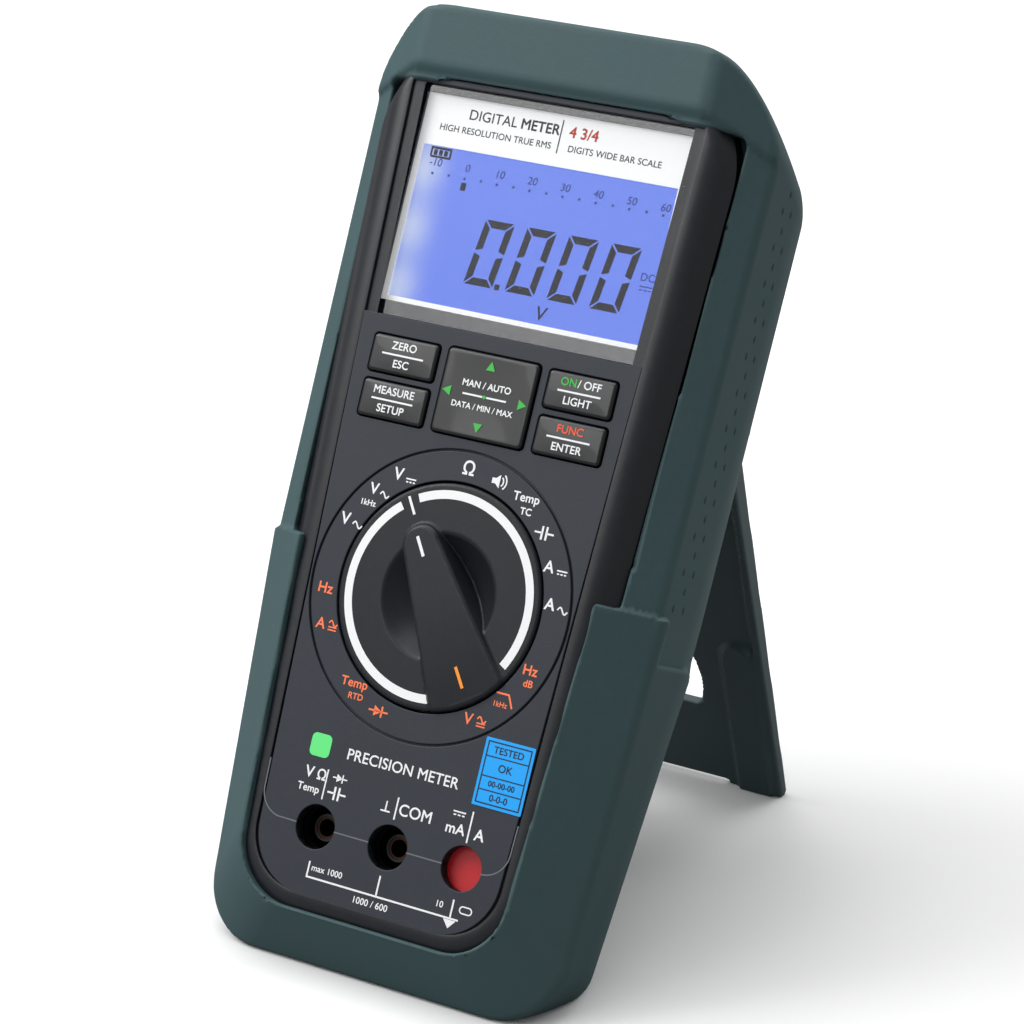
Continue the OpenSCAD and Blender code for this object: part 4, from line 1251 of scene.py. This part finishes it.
class METER_OT_knob(Operator):
    """Builds the rotary selector with its white ring and pointer lines"""
    bl_idname = "booted_meter.knob"
    bl_label = "Knob"

    def execute(self, context):
        turn = selector_turn()
        mat = moulded("knob plastic", srgb(28, 31, 36), 0.4, grain=0.3, fineness=2600, uneven=0.10,
                      dust=0.02, bump=0.00004, specular=0.3)
        step = 0.5
        knob = place_net("knob_body", knob_field, (-27, -27, -9), (27, 27, 3.5), step, "selector",
                         mat, spin=turn)
        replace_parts(knob, "knob")
        shaft = turned([(0.01, -11.2), (5.8, -11.2), (5.8, -7.4), (0.01, -7.4)], 32, closed=False)
        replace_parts(place("knob_shaft", shaft, "selector", mat), "knob")
        spin = Matrix.Rotation(turn, 4, "Z")
        ring = [strip(arc(0, 0, 22.75, 90 - 5.6, 90 - 153.0, 96), 1.95),
                strip(arc(0, 0, 22.75, 90 + 5.6, 90 + 157.0, 96), 1.95),
                strip([(0, 19.6), (0, 24.0)], 0.62)]
        white = plain("knob white", srgb(244, 245, 246), 0.45)
        print_marks("knob_ring", "selector", white, ring, 0.36, turn=spin)
        tick = [strip([(0, 9.4), (0, 14.2)], 0.75)]
        print_marks("knob_pointer", "selector", white, tick, 1.9, turn=spin)
        # The orange line carries a faint painted glow.
        orange = plain("knob orange", srgb(246, 150, 40), 0.5, painted_glow=0.1)
        back = strip([(0.0, -21.6), (0.0, -16.6)], 0.75)
        for v in back.vertices:
            v.co.z = 1.9 - 0.9 * ((2 - v.co.y) / 26) ** 2 - 1.9
        print_marks("knob_back_line", "selector", orange, [back], 1.93, turn=spin)
        return {"FINISHED"}


# ------------------------------------------------------------------ sockets and legends


class METER_OT_sockets(Operator):
    """Builds the socket linings and the test label"""
    bl_idname = "booted_meter.sockets"
    bl_label = "Sockets"

    def execute(self, context):
        black = moulded("socket black", srgb(10, 11, 13), 0.4, grain=0.1, uneven=0.05, dust=0.0)
        linings = []
        for i in range(3):
            lining = turned([(5.0, -0.25), (5.0, -3.0), (5.9, -3.0), (5.9, -0.6)], 64)
            linings.append(at(lining, -17 + 19.05 * i, SOCKET_Y))
        place("socket_linings", joined("linings", linings), "case", black, sharp=40)

        # The blue label foil carries a faint painted glow.
        foil = plain("label blue", srgb(0, 158, 240), 0.35, painted_glow=0.12)
        lines = plain("label ink", srgb(12, 26, 48), 0.5)
        label = place("test_sticker", filled([round_box(26.1, -34.45, 12.4, 15.1, 0.25)], 0.02, 0.14),
                      "case", foil, sharp=None)
        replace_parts(label, "test_label")
        x0, x1, y0, y1 = 20.7, 31.5, -41.2, -27.7
        marks = [strip([(x0, y0), (x1, y0), (x1, y1), (x0, y1), (x0, y0)], 0.3)]
        for y in (-30.9, -35.3, -38.3):
            marks.append(strip([(x0, y), (x1, y)], 0.26))
        for row, (text, size) in enumerate((("TESTED", 2.2), ("OK", 2.4), ("00-00-00", 1.8), ("0-0-0", 2.1))):
            y = (-29.4, -33.1, -36.8, -39.8)[row]
            marks.append(words(text, size, 26.1, y, weight=0.03))
        print_marks("test_sticker_print", "case", lines, marks, 0.15)
        return {"FINISHED"}


class METER_OT_legends(Operator):
    """Prints the dial, the socket names and the connecting lines"""
    bl_idname = "booted_meter.legends"
    bl_label = "Legends"

    def execute(self, context):
        white, orange = [], []
        r = 29.0

        def put(marks, clockwise, items):
            x, y = dial_point(clockwise, r)
            for item in items:
                marks.append(at(item, x, y))

        def volts(marks, clockwise, tail):
            put(marks, clockwise, [words("V", 3.9, -1.4, 0, weight=0.07)] + tail)

        volts(white, -4 * DETENT, [wave(1.9, -0.8, 2.5)])
        put(white, -3 * DETENT, [words("V", 3.6, -0.4, 1.0, weight=0.07), wave(2.5, 0.2, 2.3),
                                 words("1kHz", 1.9, -1.2, -2.3, weight=0.04)])
        volts(white, -2 * DETENT, bar_and_dashes(2.0, -0.9, 2.6))
        put(white, 0, [words("Ω", 4.3, 0, 0, weight=0.07)])
        put(white, DETENT, sounder_mark(0, 0))
        put(white, 2 * DETENT, [words("Temp", 2.8, 0, 1.2, weight=0.05),
                                words("TC", 2.2, 0.6, -1.8, weight=0.05)])
        put(white, 3 * DETENT, capacitor_mark(0, 0))
        put(white, 4 * DETENT, [words("A", 3.7, -1.4, 0, weight=0.07)] + bar_and_dashes(2.0, -0.7, 2.6))
        put(white, 5 * DETENT, [words("A", 3.7, -1.4, 0, weight=0.07), wave(1.9, -0.7, 2.5)])
        put(orange, 180 + 5 * DETENT, [words("Hz", 3.4, 0, 0, weight=0.06)])
        put(orange, 180 + 4 * DETENT, [words("A", 3.5, -1.4, 0, weight=0.06)] + both_currents(1.8, -0.2, 2.2))
        put(orange, 180 + 2 * DETENT, [words("Temp", 2.9, 0, 1.3, weight=0.05),
                                       words("RTD", 2.0, 1.0, -1.6, weight=0.04)])
        put(orange, 180 + DETENT, diode_mark(0, 0))
        put(orange, 180 - 2 * DETENT, [words("V", 3.6, -1.4, 0, weight=0.06)] + both_currents(1.9, -0.2, 2.2))
        put(orange, 180 - 3 * DETENT, filter_mark(0, 0.4) + [words("1kHz", 1.7, -0.9, -0.6, weight=0.03)])
        put(orange, 180 - 4 * DETENT, [words("Hz", 3.2, 0, 1.2, weight=0.06),
                                       words("dB", 2.2, 0.2, -1.7, weight=0.05)])

        y = -45.4
        white += [words("V", 3.6, -21.6, y + 0.6, weight=0.06), words("Ω", 3.3, -18.4, y + 0.5, weight=0.06),
                  words("Temp", 2.4, -21.0, y - 2.9, weight=0.045),
                  strip([(-17.0, y + 2.2), (-17.0, y - 4.6)], 0.35)]
        white += diode_mark(-13.6, y + 0.9, 0.75) + capacitor_mark(-13.6, y - 2.6)
        white += [words("⊥", 3.6, -0.6, -47.8, weight=0.05), strip([(2.0, -45.0), (2.0, -50.0)], 0.38),
                  words("COM", 3.7, 7.0, -47.6, weight=0.045)]
        white += [words("mA", 3.4, 17.4, -48.3, weight=0.06), strip([(20.9, -43.6), (20.9, -50.6)], 0.38),
                  words("A", 3.6, 23.6, -48.4, weight=0.07)]
        white += [item for item in bar_and_dashes(17.6, -44.9, 3.2)]
        white.append(strip([(-16.2, -63.9), (-16.2, -67.4), (23.3, -67.4)], 0.42))
        white.append(strip([(2.05, -62.7), (2.05, -67.3)], 0.42))
        white.append(strip([(21.2, -63.2), (21.2, -67.3)], 0.42))
        white.append(patch([(19.6, -67.7), (22.8, -67.7), (21.2, -69.6)]))
        white.append(words("max 1000", 2.0, -11.4, -65.2, weight=0.03))
        white.append(words("10", 2.0, 17.9, -65.0, weight=0.03))
        white.append(strip(round_box(24.6, -64.9, 3.0, 1.5, 0.7, 3) + [(25.4, -65.65)], 0.3))
        white.append(words("1000 / 600", 2.1, 1.0, -69.4, weight=0.03))
        white.append(words("PRECISION METER", 3.5, 1.2, -38.8, weight=0.035))

        # The white, orange and green legend inks carry a faint painted glow.
        ink = plain("legend white", srgb(236, 238, 240), 0.5, painted_glow=0.06)
        amber = plain("legend orange", srgb(246, 120, 72), 0.5, painted_glow=0.12)
        green = plain("legend green", srgb(94, 224, 123), 0.5, painted_glow=0.12)
        print_marks("panel_legends_white", "case", ink, white, 0.0)
        print_marks("panel_legends_orange", "case", amber, orange, 0.0)
        mark = [patch(round_box(-20.4, -38.4, 5.2, 5.2, 1.2))]
        print_marks("panel_mark_green", "case", green, mark, 0.0)
        line = plain("legend grey", srgb(104, 108, 116), 0.5)
        right_end = [(26.1, SOCKET_Y)] + arc(26.1, SOCKET_Y + 6, 6, -80, 0, 10) + [(32.3, -44)]
        left_end = [(-22.0, SOCKET_Y)] + arc(-26.1, SOCKET_Y + 6, 6, 260, 180, 10) + [(-32.3, -44)]
        links = [[(-12.0, SOCKET_Y), (-2.95, SOCKET_Y)], [(7.05, SOCKET_Y), (16.1, SOCKET_Y)]]
        grey = [strip(points, 0.3) for points in links + [right_end, left_end]]
        print_marks("panel_lines_grey", "case", line, grey, 0.0)
        return {"FINISHED"}


# ------------------------------------------------------------------ parts kept from the frame


FRAME_LOOKS = {
    "rear_shell": ("rear plastic", srgb(38, 41, 46), 0.5, 0.0),
    "battery_door": ("rear plastic", srgb(38, 41, 46), 0.5, 0.0),
    "stand_pins": ("zinc steel", srgb(186, 188, 190), 0.35, 1.0),
    "door_screws": ("zinc steel", srgb(186, 188, 190), 0.35, 1.0),
    "case_screws": ("zinc steel", srgb(186, 188, 190), 0.35, 1.0),
    "light_guide": ("guide acrylic", srgb(206, 220, 248), 0.15, 0.0),
    "lcd_frame": ("frame white", srgb(222, 222, 214), 0.5, 0.0),
    "zebra_strip": ("silicone grey", srgb(140, 144, 148), 0.7, 0.0),
    "key_mat": ("silicone grey", srgb(140, 144, 148), 0.7, 0.0),
    "main_board": ("solder mask", srgb(26, 92, 54), 0.3, 0.0),
    "board_chips": ("chip resin", srgb(26, 27, 30), 0.45, 0.0),
    "varistors": ("dipped blue", srgb(34, 78, 140), 0.35, 0.0),
    "current_shunt": ("drawn copper", srgb(196, 120, 70), 0.3, 1.0),
    "buzzer": ("brass", srgb(204, 166, 86), 0.3, 1.0),
    "cursor_cross": ("zinc steel", srgb(186, 188, 190), 0.35, 1.0),
    "cursor_cradle": ("frame white", srgb(222, 222, 214), 0.5, 0.0),
    "cam_disc": ("cam natural", srgb(214, 208, 190), 0.5, 0.0),
    "wiper_contacts": ("brass", srgb(204, 166, 86), 0.3, 1.0),
    "knob_clip": ("zinc steel", srgb(186, 188, 190), 0.35, 1.0),
    "detent_spring": ("zinc steel", srgb(186, 188, 190), 0.35, 1.0),
    "socket_shutter": ("shutter red", srgb(206, 34, 42), 0.38, 0.0),
    "socket_block": ("socket black", srgb(10, 11, 13), 0.4, 0.0),
    # Painted shade: the socket contacts' brass is darkened far below the other brass, for their place deep
    # inside the socket holes.
    "volt_contact": ("contact brass", srgb(62, 42, 30), 0.45, 0.8),
    "com_contact": ("contact brass", srgb(62, 42, 30), 0.45, 0.8),
    "amp_contact": ("contact brass", srgb(62, 42, 30), 0.45, 0.8),
    "socket_straps": ("brass", srgb(204, 166, 86), 0.3, 1.0),
    "cell_left": ("cell sleeve", srgb(120, 126, 134), 0.3, 0.6),
    "cell_right": ("cell sleeve", srgb(120, 126, 134), 0.3, 0.6),
    "cell_springs": ("zinc steel", srgb(186, 188, 190), 0.35, 1.0),
    "fuse": ("fired ceramic", srgb(236, 232, 220), 0.3, 0.0),
    "fuse_caps": ("zinc steel", srgb(186, 188, 190), 0.35, 1.0),
    "fuse_clips": ("brass", srgb(204, 166, 86), 0.3, 1.0),
}


class METER_OT_inner_parts(Operator):
    """Gives the frame's own parts their finishes"""
    bl_idname = "booted_meter.inner_parts"
    bl_label = "Inner parts"

    def execute(self, context):
        for node, (name, colour, rough, metal) in FRAME_LOOKS.items():
            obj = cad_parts[node]
            mat = moulded(name, colour, rough, grain=0.15, uneven=0.08, dust=0.0, metallic=metal)
            if obj.material_slots:
                for slot in obj.material_slots:
                    slot.material = mat
            else:
                obj.data.materials.append(mat)
        return {"FINISHED"}


# ------------------------------------------------------------------ stage


def soft_light(name, place_at, look_at, size, power, colour=(1, 1, 1)):
    data = bpy.data.lights.new(name, "AREA")
    data.shape = "RECTANGLE"
    data.size, data.size_y = size
    data.energy = power
    data.color = colour
    obj = bpy.data.objects.new(name, data)
    obj.location = place_at
    obj.rotation_euler = (Vector(look_at) - Vector(place_at)).to_track_quat("-Z", "Y").to_euler()
    bpy.context.scene.collection.objects.link(obj)
    return obj


def floor_paint(colour):
    """A floor that is pale to the camera but darker to bounced light, so the boot's sides stay deep."""
    mat = plain("floor pale", colour, 0.9)
    tree = mat.node_tree
    path = tree.nodes.new("ShaderNodeLightPath")
    mix = tree.nodes.new("ShaderNodeMix")
    mix.data_type = "RGBA"
    mix.inputs[6].default_value = tuple(c * 0.35 for c in colour) + (1,)
    mix.inputs[7].default_value = colour + (1,)
    tree.links.new(path.outputs["Is Camera Ray"], mix.inputs[0])
    tree.links.new(mix.outputs[2], tree.nodes["Principled BSDF"].inputs["Base Color"])
    return mat


class METER_OT_stage(Operator):
    """Sets up the floor, the soft lights and the camera"""
    bl_idname = "booted_meter.stage"
    bl_label = "Stage"

    def execute(self, context):
        s = settings().stage
        mesh = bpy.data.meshes.new("floor")
        mesh.from_pydata([(-6, -6, 0), (6, -6, 0), (6, 6, 0), (-6, 6, 0)], [], [(0, 1, 2, 3)])
        floor = bpy.data.objects.new("floor", mesh)
        mesh.materials.append(floor_paint(tuple(s.floor_colour)))
        context.scene.collection.objects.link(floor)

        world = bpy.data.worlds.new("studio")
        world.use_nodes = True
        world.node_tree.nodes["Background"].inputs[0].default_value = (1, 1, 1, 1)
        world.node_tree.nodes["Background"].inputs[1].default_value = 0.36
        context.scene.world = world

        middle = (0, 0, 0.1)
        soft_light("key_light", (-0.9, -0.4, 0.95), middle, (0.6, 0.6), s.key_power)
        soft_light("card_light", (-0.6, -0.95, 0.8), middle, (0.7, 0.25), s.key_power * 0.3)
        soft_light("top_light", (-0.35, 0.1, 1.3), middle, (1.3, 1.3), s.key_power * 1.5)
        soft_light("back_light", (0.5, 1.2, 0.9), (0.1, 0.5, 0), (1.2, 0.8), s.key_power)

        cam = bpy.data.cameras.new("camera")
        cam.lens = s.lens
        cam.sensor_width = 36
        obj = bpy.data.objects.new("camera", cam)
        context.scene.collection.objects.link(obj)
        eye = PANEL @ Vector((390.7, 13.65, 709.8))
        ahead = (PANEL.to_3x3() @ Vector((-0.4698, 0.0103, -0.8827))).normalized()
        obj.location = eye
        obj.rotation_euler = ahead.to_track_quat("-Z", "Y").to_euler()
        context.scene.camera = obj
        context.scene.view_settings.view_transform = "Standard"
        return {"FINISHED"}


class METER_PT_build(Panel):
    """Buttons and settings in the sidebar"""
    bl_label = "Booted multimeter"
    bl_idname = "METER_PT_build"
    bl_space_type = "VIEW_3D"
    bl_region_type = "UI"
    bl_category = "Multimeter"

    def draw(self, context):
        s = settings()
        for group in (s.case, s.boot, s.stand, s.display, s.knob, s.stage):
            box = self.layout.box()
            for prop in group.bl_rna.properties:
                if prop.identifier not in ("rna_type", "name"):
                    box.prop(group, prop.identifier)
        for op in BUILDERS:
            self.layout.operator(op.bl_idname)


BUILDERS = (METER_OT_boot, METER_OT_stand, METER_OT_front_panel, METER_OT_display, METER_OT_keys,
            METER_OT_cursor_pad, METER_OT_knob, METER_OT_sockets, METER_OT_legends,
            METER_OT_inner_parts, METER_OT_stage)
CLASSES = (CaseSettings, BootSettings, StandSettings, DisplaySettings, KnobSettings, StageSettings,
           MeterSettings) + BUILDERS + (METER_PT_build,)


def register():
    for cls in CLASSES:
        bpy.utils.register_class(cls)
    bpy.types.Scene.booted_meter = PointerProperty(type=MeterSettings)


def unregister():
    del bpy.types.Scene.booted_meter
    for cls in reversed(CLASSES):
        bpy.utils.unregister_class(cls)


def main():
    register()
    for op in BUILDERS:
        group, name = op.bl_idname.split(".")
        getattr(getattr(bpy.ops, group), name)()


if __name__ == "__main__":
    main()
